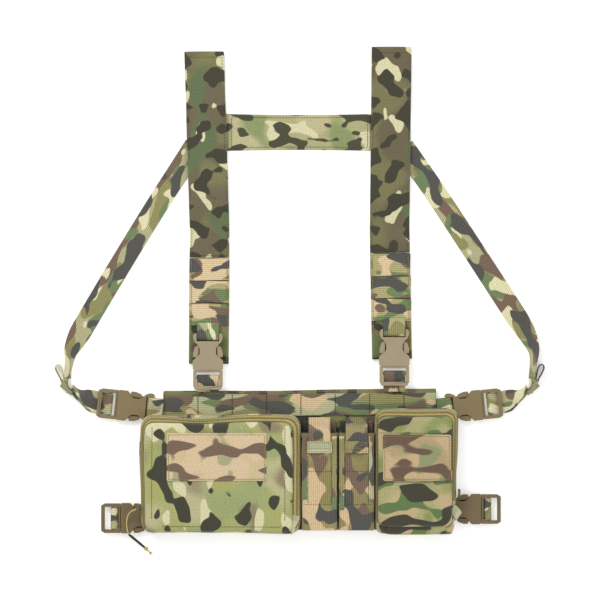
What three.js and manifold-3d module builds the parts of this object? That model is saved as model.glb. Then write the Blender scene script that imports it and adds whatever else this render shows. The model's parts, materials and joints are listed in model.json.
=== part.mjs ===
// A chest rig with an H-shaped shoulder harness, laid flat on its back, in millimetres.
// +Z comes out of the front of the rig, +Y runs up towards the shoulder straps,
// and z = 0 is the surface below.
import * as THREE from "three";
import { mergeVertices } from "three/addons/utils/BufferGeometryUtils.js";
import Module from "manifold-3d";

const wasm = await Module();
wasm.setup();

// ---- Driving dimensions ----
const GAP = 0.3; // clearance between pieces that touch
const WEBBING = 25; // width of the webbing that fits the buckles
const WEB_THICK = 1.4;

const PANEL_WIDTH = 314;
const PANEL_HEIGHT = 160;
const PANEL_TOP = -116;
const PANEL_THICK = 2;
const PAD_THICK = 3;
const PAD_SIDE_MARGIN = 17;
const PAD_CLEAR_TOP = 0.8; // from the stubs of the upper buckles
const PAD_CLEAR_BOTTOM = 3.5; // from the webbing of the lower buckles
const PAD_CORNER = 8;
const HEM_HEIGHT = 2.7;
const ROW_PITCH = 50;

const STRAP_WIDTH = 46;
const STRAP_THICK = 2.1;
const STRAP_LEFT_X = -106;
const STRAP_RIGHT_X = 105.7;
const STRAP_LEFT_REACH = 390.9; // from the top of the panel to the fold over the shoulder
const STRAP_RIGHT_REACH = 396.3;
const BACK_END_RISE = 59.5; // lower edge of the back run above the lower edge of the sleeve
const TAIL_LENGTH = 122; // flat end of the strap under the buckle
const TAIL_LEFT_LIFT = 7; // its lower edge above the mouth of the buckle
const TAIL_RIGHT_LIFT = 7.7;
const TAIL_THICK = 4;
const TAIL_ROWS = 3;
const ROW_SPACING = 1;

const CROSS_HEIGHT = 44;
const CROSS_RISE = 122; // above the lower edge of the left sleeve
const CROSS_LAP = 20; // sewn under each shoulder strap
const CROSS_CORNER = 11;
const SIDE_STRAP_RISE = 114.5; // middle of the side strap's seam above the lower edge of the sleeve
const SIDE_STRAP_LAP = 16;

// Side-release buckle, seen in its own frame: mouth at y = 0, female towards +y, male towards -y.
const BUCKLE_THICK = 10;
const BUCKLE_RAIL = 4.4; // side rail beside the webbing
const BUCKLE_SLACK = 0.5; // each side of the webbing
const FEMALE_BODY = 33;
const FEMALE_LENGTH = 42;
const WINDOW_START = 12.6;
const WINDOW_END = 30.6;
const WAIST_HALF = 9.4;
const CAVITY_WALL = 2.2;
const CAVITY_SIDE = 1.9;
const MALE_LENGTH = 22.8;
const BAR_RADIUS = 1.8;
const MALE_BAR_Y = -8.7;
const FEMALE_BAR_Y = 38.2;
const PRONG_REACH = 28;
const PRONG_CLEAR = 0.35;
const TAB_LAP = 1; // of the shoulder tab over the top edge of the panel

const SHOULDER_LEFT_X = -105.5;
const SHOULDER_RIGHT_X = 108.8;
const SHOULDER_LEFT_LIFT = 24.1; // mouth above the top of the panel
const SHOULDER_RIGHT_LIFT = 28.8;
const SIDE_REACH = 53; // mouth beyond the edge of the panel
const UPPER_DROP = 16; // mouth below the top of the panel
const UPPER_TILT = 6; // degrees, outer end higher
const LOWER_LEFT_DROP = 146.5;
const LOWER_RIGHT_DROP = 136;
const LOWER_LEFT_REACH = 48.6;
const LOWER_RIGHT_REACH = 51.5;
const STUB_LENGTH = 50; // webbing from a side buckle to its seam behind the panel
const WAIST_LOOP_REACH = 8; // from the mouth of a lower buckle back over its female half

const POUCH_WALL = 1.6;
const POUCH_STEP = 13.3; // above this the pouch overhangs the edge of the panel
const POUCH_ZIP_LEVEL = 28;
const POUCH_TOP = 41;
const ZIP_HEIGHT = 4.4;
const ZIP_WIDTH = 2.4;
const LEFT_POUCH = { width: 184, height: 134.2, top: -143.8, right: 1, corner: 12 };
const RIGHT_POUCH = { width: 94, height: 143.6, top: -136.7, right: 181, corner: 9 };
const LEFT_PATCH = { width: 114, height: 55, x: -95.2, y: -191.2 };
const RIGHT_PATCH = { width: 78, height: 53, x: 134.3, y: -192 };
const PATCH_THICK = 1;
const PATCH_CORNER = 2;
const FOOT_INSET = 0.5; // of a pouch's foot from the side edge of the panel

const MAG_WIDTH = 41.5;
const MAG_HEIGHT = 112;
const MAG_BOTTOM = -276;
const MAG_DEPTH = 26;
const MAG_WALL = 1.5;
const MAG_SPACING = 1;
const FLAP_HINGE_Y = -147.5;
const FLAP_DROP = 40; // from the hinge to the bottom of the pull tab
const FLAP_RISE = 13; // run of the flap from the hinge to the front wall

const KEEPER_OUT = 58.7; // from the mouth of the upper buckle to the middle of the elastic keeper
const KEEPER_RISE = 21.1;
const KEEPER_WIDTH = 17.6;
const KEEPER_LENGTH = 17;
const KEEPER_HEIGHT = 15;
const SLACK_REACH = 14.6; // outer face of the slack fold beyond the middle of the keeper
const SLACK_LENGTH = 20;
const SLACK_WIDTH = 9;
const ELBOW_RISE = 43.5; // where the side strap turns down to its keeper, above the middle of the keeper
const ELBOW_IN_LEFT = 5.2; // and how far inside the middle of the keeper
const ELBOW_IN_RIGHT = -1.8;
const TWIST_WIDTH = 9;
const SLIDER_SIZE = { out: 3, along: 10, high: 7 };
const LEFT_SLIDER_Y = -251;
const RIGHT_SLIDER_Y = -233;

// Pull cord of the left zipper, from the slider over the lower buckle to the surface, chosen by hand.
const CORD_DIAMETER = 1.6;
const CORD_ROUTE = [
  [-187, -251, 30],
  [-190, -252.2, 29.3],
  [-193.4, -254, 26.4],
  [-196, -256.6, 22.4],
  [-197.6, -259.6, 18.8],
  [-198.5, -263, 15.9],
  [-198.9, -267, 14.3],
  [-198.8, -271, 13.7],
  [-198.4, -275, 13.6],
  [-197.7, -278, 13.5],
  [-196.6, -280.8, 13],
];
const SLEEVE_END = [-177, -297.6, 2.8];
const SLEEVE_RADIUS = 1.5;
const KNOT_RADIUS = 2.6;
const CORD_TIP = [-170.4, -304.2, 1];

// ---- Levels, worked out from the sizes above ----
const PANEL_Z = PAD_THICK + GAP;
const ROW_Z = PANEL_Z + PANEL_THICK + GAP;
const POUCH_Z = ROW_Z + WEB_THICK + GAP;
const SHOULDER_BUCKLE_Z = POUCH_Z;
const UPPER_BUCKLE_Z = 0.6;
const LOWER_BUCKLE_Z = WEB_THICK + 2 * GAP;
const WRAP_RADIUS = BAR_RADIUS + GAP + WEB_THICK / 2;
const BAR_Z = GAP + WRAP_RADIUS + WEB_THICK / 2;
const SLOT_HALF = WEBBING / 2 + BUCKLE_SLACK;
const BUCKLE_HALF = SLOT_HALF + BUCKLE_RAIL;
const panelEdge = PANEL_WIDTH / 2;
const mouthLeft = PANEL_TOP + SHOULDER_LEFT_LIFT;
const mouthRight = PANEL_TOP + SHOULDER_RIGHT_LIFT;
const tailTopLeft = mouthLeft + TAIL_LEFT_LIFT + TAIL_LENGTH;
const tailTopRight = mouthRight + TAIL_RIGHT_LIFT + TAIL_LENGTH;
const sleeveEndLeft = tailTopLeft + GAP;
const sleeveEndRight = tailTopRight + GAP;

// ---- Solids ----
function toSolid(geometry) {
  const bare = geometry.clone();
  bare.deleteAttribute("normal");
  bare.deleteAttribute("uv");
  const merged = mergeVertices(bare, 1e-4);
  return new wasm.Manifold(
    new wasm.Mesh({
      numProp: 3,
      vertProperties: merged.attributes.position.array,
      triVerts: new Uint32Array(merged.index.array),
    }),
  );
}

function toGeometry(solid) {
  const mesh = solid.getMesh();
  const geometry = new THREE.BufferGeometry();
  geometry.setAttribute("position", new THREE.BufferAttribute(mesh.vertProperties, 3));
  geometry.setIndex(new THREE.BufferAttribute(mesh.triVerts, 1));
  geometry.computeVertexNormals();
  return geometry;
}

function join(first, ...others) {
  return toGeometry(others.reduce((sum, other) => sum.add(toSolid(other)), toSolid(first)));
}

function cut(first, ...others) {
  return toGeometry(others.reduce((sum, other) => sum.subtract(toSolid(other)), toSolid(first)));
}

// A flat outline in X and Y, raised from z0 to z1.
function slab(outline, z0, z1) {
  const shape = new THREE.Shape(outline.map(([x, y]) => new THREE.Vector2(x, y)));
  const geometry = new THREE.ExtrudeGeometry(shape, { depth: z1 - z0, bevelEnabled: false });
  return geometry.translate(0, 0, z0);
}

function block(x0, x1, y0, y1, z0, z1) {
  const geometry = new THREE.BoxGeometry(x1 - x0, y1 - y0, z1 - z0);
  return geometry.translate((x0 + x1) / 2, (y0 + y1) / 2, (z0 + z1) / 2);
}

// An outline in Y and Z, drawn out along X from x0 to x1.
function profile(outline, x0, x1) {
  const shape = new THREE.Shape(outline.map(([y, z]) => new THREE.Vector2(y, z)));
  const geometry = new THREE.ExtrudeGeometry(shape, { depth: x1 - x0, bevelEnabled: false });
  geometry.rotateY(Math.PI / 2);
  geometry.rotateX(Math.PI / 2);
  return geometry.translate(x0, 0, 0);
}

function roundedOutline(x0, x1, y0, y1, radius, steps = 4) {
  const points = [];
  const corners = [
    [x1 - radius, y0 + radius, -90],
    [x1 - radius, y1 - radius, 0],
    [x0 + radius, y1 - radius, 90],
    [x0 + radius, y0 + radius, 180],
  ];
  for (const [cx, cy, start] of corners) {
    for (let i = 0; i <= steps; i += 1) {
      const angle = THREE.MathUtils.degToRad(start + (90 * i) / steps);
      points.push([cx + radius * Math.cos(angle), cy + radius * Math.sin(angle)]);
    }
  }
  return points;
}

// The closed outline of a band of even thickness that follows a route of 2-D points.
function ribbon(route, thickness) {
  const left = [];
  const right = [];
  route.forEach((point, i) => {
    const before = route[Math.max(i - 1, 0)];
    const after = route[Math.min(i + 1, route.length - 1)];
    const into = new THREE.Vector2(point[0] - before[0], point[1] - before[1]).normalize();
    const out = new THREE.Vector2(after[0] - point[0], after[1] - point[1]).normalize();
    const along = into.clone().add(out).normalize();
    const turn = into.lengthSq() && out.lengthSq() ? Math.max(along.dot(into), 0.5) : 1;
    const half = thickness / 2 / turn;
    left.push([point[0] - along.y * half, point[1] + along.x * half]);
    right.push([point[0] + along.y * half, point[1] - along.x * half]);
  });
  return [...right, ...left.reverse()];
}

// Webbing in Y and Z round a bar, with both runs leaving on the given side:
// in along the low run, round, and out.
function wrapRoute(barY, barZ, side, lowRun, highRun) {
  const tangent = ([y, z], turn) => {
    const away = Math.hypot(y - barY, z - barZ);
    return Math.atan2(z - barZ, y - barY) + turn * Math.acos(WRAP_RADIUS / away);
  };
  const start = tangent(lowRun.at(-1), -side);
  let sweep = tangent(highRun[0], side) - start;
  while (side * sweep > 0) sweep -= side * 2 * Math.PI;
  const steps = Math.ceil(Math.abs(sweep) / (Math.PI / 6));
  const round = [];
  for (let i = 0; i <= steps; i += 1) {
    const angle = start + (sweep * i) / steps;
    round.push([barY + WRAP_RADIUS * Math.cos(angle), barZ + WRAP_RADIUS * Math.sin(angle)]);
  }
  return [...lowRun, ...round, ...highRun];
}

function crossBar(y, z, half) {
  const bar = new THREE.CylinderGeometry(BAR_RADIUS, BAR_RADIUS, 2 * half, 10);
  return bar.rotateZ(Math.PI / 2).translate(0, y, z);
}

// ---- Scene graph ----
const root = new THREE.Group();
const FABRIC = { green: "#73815c", tan: "#bba680", brown: "#725f51", khaki: "#b7b184", dark: "#3a3728" };

function material(colour, roughness = 0.9) {
  return new THREE.MeshStandardMaterial({ color: colour, roughness, metalness: 0 });
}

function add(name, geometry, look, parent = root) {
  const mesh = new THREE.Mesh(geometry, look);
  mesh.name = name;
  parent.add(mesh);
  return mesh;
}

// ---- Panel and its webbing ----
function makePanel() {
  const bottom = PANEL_TOP - PANEL_HEIGHT;
  const sheet = block(-panelEdge, panelEdge, bottom, PANEL_TOP, PANEL_Z, PANEL_Z + PANEL_THICK);
  const hem = block(-panelEdge, panelEdge, PANEL_TOP - HEM_HEIGHT, PANEL_TOP, PANEL_Z, ROW_Z + WEB_THICK);
  add("front_panel", join(sheet, hem), material(FABRIC.green));
  for (const [index, name] of ["molle_row_upper", "molle_row_lower"].entries()) {
    const top = PANEL_TOP - HEM_HEIGHT - GAP - index * ROW_PITCH;
    const row = block(-panelEdge, panelEdge, top - WEBBING, top, ROW_Z, ROW_Z + WEB_THICK);
    add(name, row, material(FABRIC.khaki));
  }
  const padEdge = panelEdge - PAD_SIDE_MARGIN;
  const tilt = THREE.MathUtils.degToRad(UPPER_TILT);
  const stubFall = (SIDE_REACH / Math.cos(tilt) + STUB_LENGTH) * Math.sin(tilt);
  const stubEdge = UPPER_DROP + stubFall + (WEBBING / 2) * Math.cos(tilt);
  const padTop = PANEL_TOP - stubEdge - PAD_CLEAR_TOP;
  const waistEdge = Math.min(LOWER_LEFT_DROP, LOWER_RIGHT_DROP) - WEBBING / 2;
  const padBottom = PANEL_TOP - waistEdge + PAD_CLEAR_BOTTOM;
  const pad = slab(roundedOutline(-padEdge, padEdge, padBottom, padTop, PAD_CORNER), 0, PAD_THICK);
  add("back_padding", pad, material(FABRIC.dark));
}

// ---- Shoulder straps ----
const layerLow = GAP + STRAP_THICK / 2;
const layerBack = 2 * GAP + WEB_THICK + STRAP_THICK / 2;
const layerFront = layerBack + STRAP_THICK + GAP;

// A padded sleeve that runs up the front, folds over the shoulder and comes down behind.
function makeSleeve(name, centre, end, top) {
  const backEnd = end + BACK_END_RISE;
  const foldRadius = (layerFront - layerBack) / 2;
  const foldY = top - foldRadius - STRAP_THICK / 2;
  const foldSteps = 4;
  const route = [
    [end, layerLow],
    [backEnd - 15, layerLow],
    [backEnd - 3, layerFront],
  ];
  for (let i = 0; i <= foldSteps; i += 1) {
    const angle = Math.PI / 2 - (Math.PI * i) / foldSteps;
    const middle = (layerFront + layerBack) / 2;
    route.push([foldY + foldRadius * Math.cos(angle), middle + foldRadius * Math.sin(angle)]);
  }
  route.push([backEnd, layerBack]);
  const sleeve = profile(ribbon(route, STRAP_THICK), centre - STRAP_WIDTH / 2, centre + STRAP_WIDTH / 2);
  add(name, sleeve, material(FABRIC.brown));
}

// The flat end of the strap with its rows of webbing, and the loop that holds the buckle.
function makeTail(name, centre, start, loopX, mouthY) {
  const x0 = centre - STRAP_WIDTH / 2;
  const x1 = centre + STRAP_WIDTH / 2;
  const parts = [block(x0, x1, start - TAIL_LENGTH, start, GAP, GAP + TAIL_THICK)];
  const rowTop = GAP + TAIL_THICK + WEB_THICK;
  for (let i = 0; i < TAIL_ROWS; i += 1) {
    const y = start - ROW_SPACING - i * (WEBBING + ROW_SPACING);
    parts.push(block(x0, x1, y - WEBBING, y, TAIL_THICK, rowTop));
  }
  const barY = mouthY + FEMALE_BAR_Y;
  const barZ = SHOULDER_BUCKLE_Z + BUCKLE_THICK / 2;
  const seamY = start - TAIL_ROWS * (WEBBING + ROW_SPACING) + 3;
  const lowEnd = rowTop - WEB_THICK / 2;
  const route = wrapRoute(barY, barZ, 1, [[seamY, lowEnd]], [[seamY, lowEnd + WEB_THICK + 0.2]]);
  parts.push(profile(ribbon(route, WEB_THICK), loopX - WEBBING / 2, loopX + WEBBING / 2));
  add(name, join(...parts), material(FABRIC.green));
}

function makeCrossStrap() {
  const x0 = STRAP_LEFT_X + STRAP_WIDTH / 2 - CROSS_LAP;
  const x1 = STRAP_RIGHT_X - STRAP_WIDTH / 2 + CROSS_LAP;
  const bottom = sleeveEndLeft + CROSS_RISE;
  const outline = roundedOutline(x0, x1, bottom, bottom + CROSS_HEIGHT, CROSS_CORNER);
  add("cross_strap", slab(outline, GAP, GAP + WEB_THICK), material(FABRIC.khaki));
}

// ---- Side-release buckles ----
const mirrored = (points) => [...points, ...points.map(([x, y]) => [-x, y]).reverse()];

function femaleSolid() {
  const outline = mirrored([
    [BUCKLE_HALF - 0.8, 0],
    [BUCKLE_HALF, 1.5],
    [BUCKLE_HALF, WINDOW_START - 2],
    [BUCKLE_HALF - 2, WINDOW_START],
    [WAIST_HALF + 2, WINDOW_START + 2.5],
    [WAIST_HALF, WINDOW_START + 6],
    [WAIST_HALF, WINDOW_END - 6],
    [WAIST_HALF + 2.5, WINDOW_END - 1.5],
    [SLOT_HALF + 2, WINDOW_END + 1],
    [BUCKLE_HALF - 0.5, FEMALE_BODY + 3],
    [BUCKLE_HALF - 0.5, FEMALE_LENGTH - 2],
    [BUCKLE_HALF - 2.5, FEMALE_LENGTH],
  ]);
  const shell = cut(
    slab(outline, 0, BUCKLE_THICK),
    block(-SLOT_HALF, SLOT_HALF, FEMALE_BODY, FEMALE_LENGTH + 1, -1, BUCKLE_THICK + 1),
    block(
      CAVITY_SIDE - BUCKLE_HALF,
      BUCKLE_HALF - CAVITY_SIDE,
      -1,
      FEMALE_BODY - CAVITY_WALL,
      CAVITY_WALL,
      BUCKLE_THICK - CAVITY_WALL,
    ),
  );
  return join(shell, crossBar(FEMALE_BAR_Y, BUCKLE_THICK / 2, SLOT_HALF + 1));
}

function maleSolid() {
  const endBar = 4.3;
  const mouthBar = 2.4;
  const underside = BAR_Z + 0.1;
  const outline = mirrored([
    [BUCKLE_HALF - 0.4, -0.5],
    [BUCKLE_HALF - 0.4, endBar - MALE_LENGTH],
    [BUCKLE_HALF - 2.6, -MALE_LENGTH],
  ]);
  const frame = cut(
    slab(outline, 0.4, BUCKLE_THICK - 1.6),
    block(-SLOT_HALF, SLOT_HALF, endBar - MALE_LENGTH, -0.5 - mouthBar, -1, BUCKLE_THICK),
    block(-SLOT_HALF, SLOT_HALF, -MALE_LENGTH - 1, endBar - MALE_LENGTH + 1, -1, underside),
  );
  return join(frame, crossBar(MALE_BAR_Y, BAR_Z, SLOT_HALF + 1));
}

// Two spring arms with catches, and the tongue between them.
function prongSolid() {
  const side = BUCKLE_HALF - CAVITY_SIDE - PRONG_CLEAR;
  const outline = mirrored([
    [side, -0.2],
    [side, 3],
    [side - 0.7, WINDOW_START - 0.6],
    [side - 0.9, WINDOW_START + 2],
    [BUCKLE_HALF - 0.5, WINDOW_START + 2.3],
    [BUCKLE_HALF - 0.4, WINDOW_START + 7.4],
    [side - 0.4, PRONG_REACH - 1.5],
    [side - 3.2, PRONG_REACH],
    [side - 4.8, PRONG_REACH - 1],
    [side - 4, WINDOW_START],
    [side - 3, 3.2],
    [3, 3.2],
    [3, PRONG_REACH - 1],
  ]);
  return slab(outline, CAVITY_WALL + PRONG_CLEAR, BUCKLE_THICK - CAVITY_WALL - PRONG_CLEAR);
}

// Places the three moulded pieces of one buckle and returns its group,
// so that webbing can be added in its frame.
function makeBuckle(name, x, y, z, degrees, colour) {
  const group = new THREE.Group();
  group.position.set(x, y, z);
  group.rotation.z = THREE.MathUtils.degToRad(degrees);
  root.add(group);
  const look = material(colour, 0.45);
  add(name + "_female", femaleSolid(), look, group);
  add(name + "_male", maleSolid(), look, group);
  add(name + "_prongs", prongSolid(), look, group);
  return group;
}

// A point of the sheet in a buckle's own frame.
function inBuckle(group, [x, y]) {
  const point = new THREE.Vector3(x, y, group.position.z);
  group.updateMatrixWorld(true);
  return group.worldToLocal(point).toArray().slice(0, 2);
}

const maleLow = BAR_Z - WRAP_RADIUS;
const maleHigh = maleLow + WEB_THICK + 0.2;

// Webbing that leaves the male half over its outer end, as far as tailY.
function maleLoop(tailY) {
  const dip = MALE_BAR_Y - 8;
  const low = [[tailY, maleLow]];
  const high = [[dip, maleHigh], [tailY, maleHigh]];
  const route = wrapRoute(MALE_BAR_Y, BAR_Z, -1, low, high);
  return profile(ribbon(route, WEB_THICK), -WEBBING / 2, WEBBING / 2);
}

function makeShoulderBuckle(name, x, lift, colour) {
  const mouthY = PANEL_TOP + lift;
  const group = makeBuckle(name, x, mouthY, SHOULDER_BUCKLE_Z, 0, colour);
  add(name + "_tab_loop", maleLoop(-lift - TAB_LAP), material(FABRIC.brown), group);
}

// A stub of webbing that holds a side buckle and is sewn behind the panel.
function makeStub(name, group, edgeY) {
  const slabLow = WEB_THICK + GAP - group.position.z;
  const slabHigh = PANEL_Z - GAP - group.position.z;
  const flat = block(-WEBBING / 2, WEBBING / 2, edgeY - 3, edgeY + STUB_LENGTH, slabLow, slabHigh);
  const low = [[edgeY - 1, (slabLow + slabHigh) / 2]];
  const high = [[edgeY - 1.8, slabHigh + 0.2 + WEB_THICK / 2]];
  const route = wrapRoute(FEMALE_BAR_Y, BUCKLE_THICK / 2, 1, low, high);
  const loop = profile(ribbon(route, WEB_THICK), -WEBBING / 2, WEBBING / 2);
  add(name, join(flat, loop), material(FABRIC.khaki), group);
}

// ---- Upper side buckles, their webbing and the side straps ----
function makeUpperSide(name, side, strapX, sleeveEnd) {
  const mouth = [side * (panelEdge + SIDE_REACH), PANEL_TOP - UPPER_DROP];
  const group = makeBuckle(name + "_upper", ...mouth, UPPER_BUCKLE_Z, side * (90 + UPPER_TILT), "#8f8266");
  makeStub(name + "_upper_stub", group, SIDE_REACH / Math.cos(THREE.MathUtils.degToRad(UPPER_TILT)));

  const keeper = [mouth[0] + side * KEEPER_OUT, mouth[1] + KEEPER_RISE];
  const inner = keeper[0] - side * (KEEPER_WIDTH / 2 + GAP);
  const half = WEBBING / 2;
  const fanTop = inBuckle(group, [inner, keeper[1] + 1]);
  const fanBottom = inBuckle(group, [inner, keeper[1] - KEEPER_LENGTH / 2]);
  const tailY = -MALE_LENGTH - 2;
  const upHalf = Math.sign(fanTop[0]) * half;
  const fanStart = tailY + 0.5;
  const fanOutline = [[upHalf, fanStart], fanTop, fanBottom, [-upHalf, fanStart]];
  const fan = slab(fanOutline, maleLow - WEB_THICK / 2 + 0.2, maleHigh + WEB_THICK / 2);
  add(name + "_adjuster_webbing", join(fan, maleLoop(tailY)), material(FABRIC.khaki), group);

  const bundle = block(
    keeper[0] - KEEPER_WIDTH / 2,
    keeper[0] + KEEPER_WIDTH / 2,
    keeper[1] - KEEPER_LENGTH / 2,
    keeper[1] + KEEPER_LENGTH / 2,
    GAP,
    GAP + KEEPER_HEIGHT,
  );
  const outer = keeper[0] + side * SLACK_REACH;
  const slackX = [outer, outer - side * SLACK_WIDTH].sort((a, b) => a - b);
  const slackBottom = keeper[1];
  const slackTop = keeper[1] + KEEPER_LENGTH / 2 + SLACK_LENGTH;
  const slack = block(...slackX, slackBottom, slackTop, GAP, GAP + KEEPER_HEIGHT - 2);
  add(name + "_slack_keeper", join(bundle, slack), material(FABRIC.dark));
  makeSideStrap(name, side, strapX, sleeveEnd, keeper);
}

// Flat webbing from the seam under the shoulder strap to the keeper, cut where its two bodies meet.
function makeSideStrap(name, side, strapX, sleeveEnd, keeper) {
  const edge = strapX + (side * STRAP_WIDTH) / 2;
  const from = new THREE.Vector2(edge, sleeveEnd + SIDE_STRAP_RISE);
  const elbowIn = side < 0 ? ELBOW_IN_LEFT : ELBOW_IN_RIGHT;
  const elbow = new THREE.Vector2(keeper[0] - side * elbowIn, keeper[1] + ELBOW_RISE);
  const along = elbow.clone().sub(from).normalize();
  const across = new THREE.Vector2(-along.y, along.x);
  const length = from.distanceTo(elbow);
  const place = (distance, offset) => {
    const point = from.clone().addScaledVector(along, distance).addScaledVector(across, offset);
    return [point.x, point.y];
  };
  const half = WEBBING / 2;
  const middle = length / 2;
  const upper = [
    place(-SIDE_STRAP_LAP, half),
    place(middle, half),
    place(middle, -half),
    place(-SIDE_STRAP_LAP, -half),
  ];
  const lowerStart = middle + GAP;
  // Past the elbow the strap is narrow, and runs down between the slack fold and the buckle's webbing.
  const footX = keeper[0] - side * 1.5;
  const footHalf = TWIST_WIDTH / 2 * Math.sign(across.x);
  const footTop = keeper[1] + KEEPER_LENGTH / 2 + SLACK_LENGTH + 1;
  const footBottom = keeper[1] + KEEPER_LENGTH / 2 + GAP;
  const lower = [
    place(lowerStart, half),
    place(length, half),
    [footX + footHalf, footTop],
    [footX + footHalf, footBottom],
    [footX - footHalf, footBottom],
    [footX - footHalf, footTop],
    place(length, -half),
    place(lowerStart, -half),
  ];
  add(name + "_side_strap_upper", slab(upper, GAP, GAP + WEB_THICK), material(FABRIC.green));
  add(name + "_side_strap_lower", slab(lower, GAP, GAP + WEB_THICK), material(FABRIC.green));
}

// ---- Lower side buckles and the waist strap that runs behind the rig ----
function makeLowerSide(name, side, reach, drop) {
  const mouth = [side * (panelEdge + reach), PANEL_TOP - drop];
  const group = makeBuckle(name + "_lower", ...mouth, LOWER_BUCKLE_Z, side * 90, "#6b5d41");
  makeStub(name + "_lower_stub", group, reach);
  const strapLevel = WEB_THICK / 2 - LOWER_BUCKLE_Z;
  const low = [[WAIST_LOOP_REACH, strapLevel], [MALE_BAR_Y + 5, strapLevel]];
  const high = [[MALE_BAR_Y + 3, BAR_Z + WRAP_RADIUS - 1]];
  const route = wrapRoute(MALE_BAR_Y, BAR_Z, 1, low, high);
  const loop = profile(ribbon(route, WEB_THICK), -WEBBING / 2, WEBBING / 2);
  add(name + "_waist_loop", loop, material(FABRIC.khaki), group);
  return [mouth[0] - side * (WAIST_LOOP_REACH + GAP), mouth[1]];
}

function makeWaistStrap(left, right) {
  const half = WEBBING / 2;
  const outline = [
    [left[0], left[1] - half],
    [right[0], right[1] - half],
    [right[0], right[1] + half],
    [left[0], left[1] + half],
  ];
  add("waist_strap", slab(outline, 0, WEB_THICK), material(FABRIC.khaki));
}

// ---- Zipped pouches ----
const zipLow = POUCH_ZIP_LEVEL + GAP;
const coverLow = zipLow + ZIP_HEIGHT + GAP;

function makePouch(name, size, patch, colour) {
  const x1 = size.right;
  const x0 = size.right - size.width;
  const y1 = size.top;
  const y0 = size.top - size.height;
  const foot0 = Math.max(x0, FOOT_INSET - panelEdge);
  const foot1 = Math.min(x1, panelEdge - FOOT_INSET);
  const outline = (left, right, inset) =>
    roundedOutline(left + inset, right - inset, y0 + inset, y1 - inset, size.corner - inset);
  const full = (inset) => outline(x0, x1, inset);
  const foot = (inset) => outline(foot0, foot1, inset);
  const wall = POUCH_WALL;
  const body = slab(full(0), POUCH_STEP, POUCH_ZIP_LEVEL);
  const outside = join(body, slab(foot(0), POUCH_Z, POUCH_STEP + 1));
  const back = cut(
    outside,
    slab(full(wall), POUCH_STEP + wall, POUCH_ZIP_LEVEL + 1),
    slab(foot(wall), POUCH_Z + wall, POUCH_STEP + wall + 1),
  );
  add(name + "_back", back, material(colour));
  const opening = slab(full(ZIP_WIDTH), zipLow - 1, zipLow + ZIP_HEIGHT + 1);
  const ring = cut(slab(full(0), zipLow, zipLow + ZIP_HEIGHT), opening);
  add(name + "_zipper", ring, material("#958d5d", 0.6));
  const cover = cut(slab(full(0), coverLow, POUCH_TOP), slab(full(wall), coverLow - 1, POUCH_TOP - wall));
  add(name + "_cover", cover, material(colour));
  const [px, py] = [patch.width / 2, patch.height / 2];
  const plate = slab(
    roundedOutline(patch.x - px, patch.x + px, patch.y - py, patch.y + py, PATCH_CORNER),
    POUCH_TOP + GAP,
    POUCH_TOP + GAP + PATCH_THICK,
  );
  add(name + "_loop_patch", plate, material("#c9b995"));
}

function makeSlider(name, side, edgeX, y) {
  const size = SLIDER_SIZE;
  const xs = [edgeX + side * GAP, edgeX + side * (GAP + size.out)].sort((a, b) => a - b);
  const middle = zipLow + ZIP_HEIGHT / 2;
  const [low, high] = [middle - size.high / 2, middle + size.high / 2];
  const body = block(...xs, y - size.along / 2, y + size.along / 2, low, high);
  add(name, body, material(FABRIC.dark, 0.35));
}

// ---- Magazine pouches with pull-tab flaps ----
function makeMagPouch(name, x0) {
  const x1 = x0 + MAG_WIDTH;
  const top = MAG_BOTTOM + MAG_HEIGHT;
  const front = POUCH_Z + MAG_DEPTH;
  const backPlateTop = FLAP_HINGE_Y - 2.5;
  const wall = MAG_WALL;
  const body = cut(
    slab(roundedOutline(x0, x1, MAG_BOTTOM, top, 1), POUCH_Z, front),
    block(x0 + wall, x1 - wall, MAG_BOTTOM + wall, top + 1, POUCH_Z + wall, front - wall),
  );
  const backPlate = block(x0 + 1, x1 - 1, top - 3, backPlateTop, POUCH_Z, POUCH_Z + wall);
  add(name + "_mag_pouch", join(body, backPlate), material("#9b8f63"));

  const middle = (x0 + x1) / 2;
  const low = POUCH_Z + wall + GAP + WEB_THICK / 2;
  const high = front + GAP + WEB_THICK / 2;
  const corner = FLAP_HINGE_Y - FLAP_RISE;
  const route = [
    [FLAP_HINGE_Y + 1.5, low],
    [FLAP_HINGE_Y - 5, low],
    [corner + 3, high - 4],
    [corner - 0.5, high],
    [FLAP_HINGE_Y - FLAP_DROP, high],
  ];
  const flap = profile(ribbon(route, WEB_THICK), middle - WEBBING / 2, middle + WEBBING / 2);
  add(name + "_mag_flap", flap, material(FABRIC.khaki));
}

// ---- Pull cord ----
function tube(points, radius, sides, steps) {
  const curve = new THREE.CatmullRomCurve3(points.map((point) => new THREE.Vector3(...point)));
  const section = new THREE.Shape();
  for (let i = 0; i < sides; i += 1) {
    const angle = (2 * Math.PI * i) / sides;
    const corner = [radius * Math.cos(angle), radius * Math.sin(angle)];
    if (i === 0) section.moveTo(...corner);
    else section.lineTo(...corner);
  }
  return new THREE.ExtrudeGeometry(section, { steps, extrudePath: curve, bevelEnabled: false });
}

function makeCord() {
  const radius = CORD_DIAMETER / 2;
  add("pull_cord", tube(CORD_ROUTE, radius, 8, 20), material("#c8b66a", 0.8));
  const last = new THREE.Vector3(...CORD_ROUTE.at(-1));
  const knot = new THREE.Vector3(...SLEEVE_END);
  const start = last.clone().addScaledVector(knot.clone().sub(last).normalize(), GAP);
  const sleeve = tube([start.toArray(), SLEEVE_END], SLEEVE_RADIUS, 8, 1);
  const ball = new THREE.SphereGeometry(KNOT_RADIUS, 10, 8).translate(...SLEEVE_END);
  const tip = tube([SLEEVE_END, CORD_TIP], radius, 8, 1);
  add("cord_end", join(sleeve, ball, tip), material(FABRIC.dark, 0.7));
}

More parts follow.
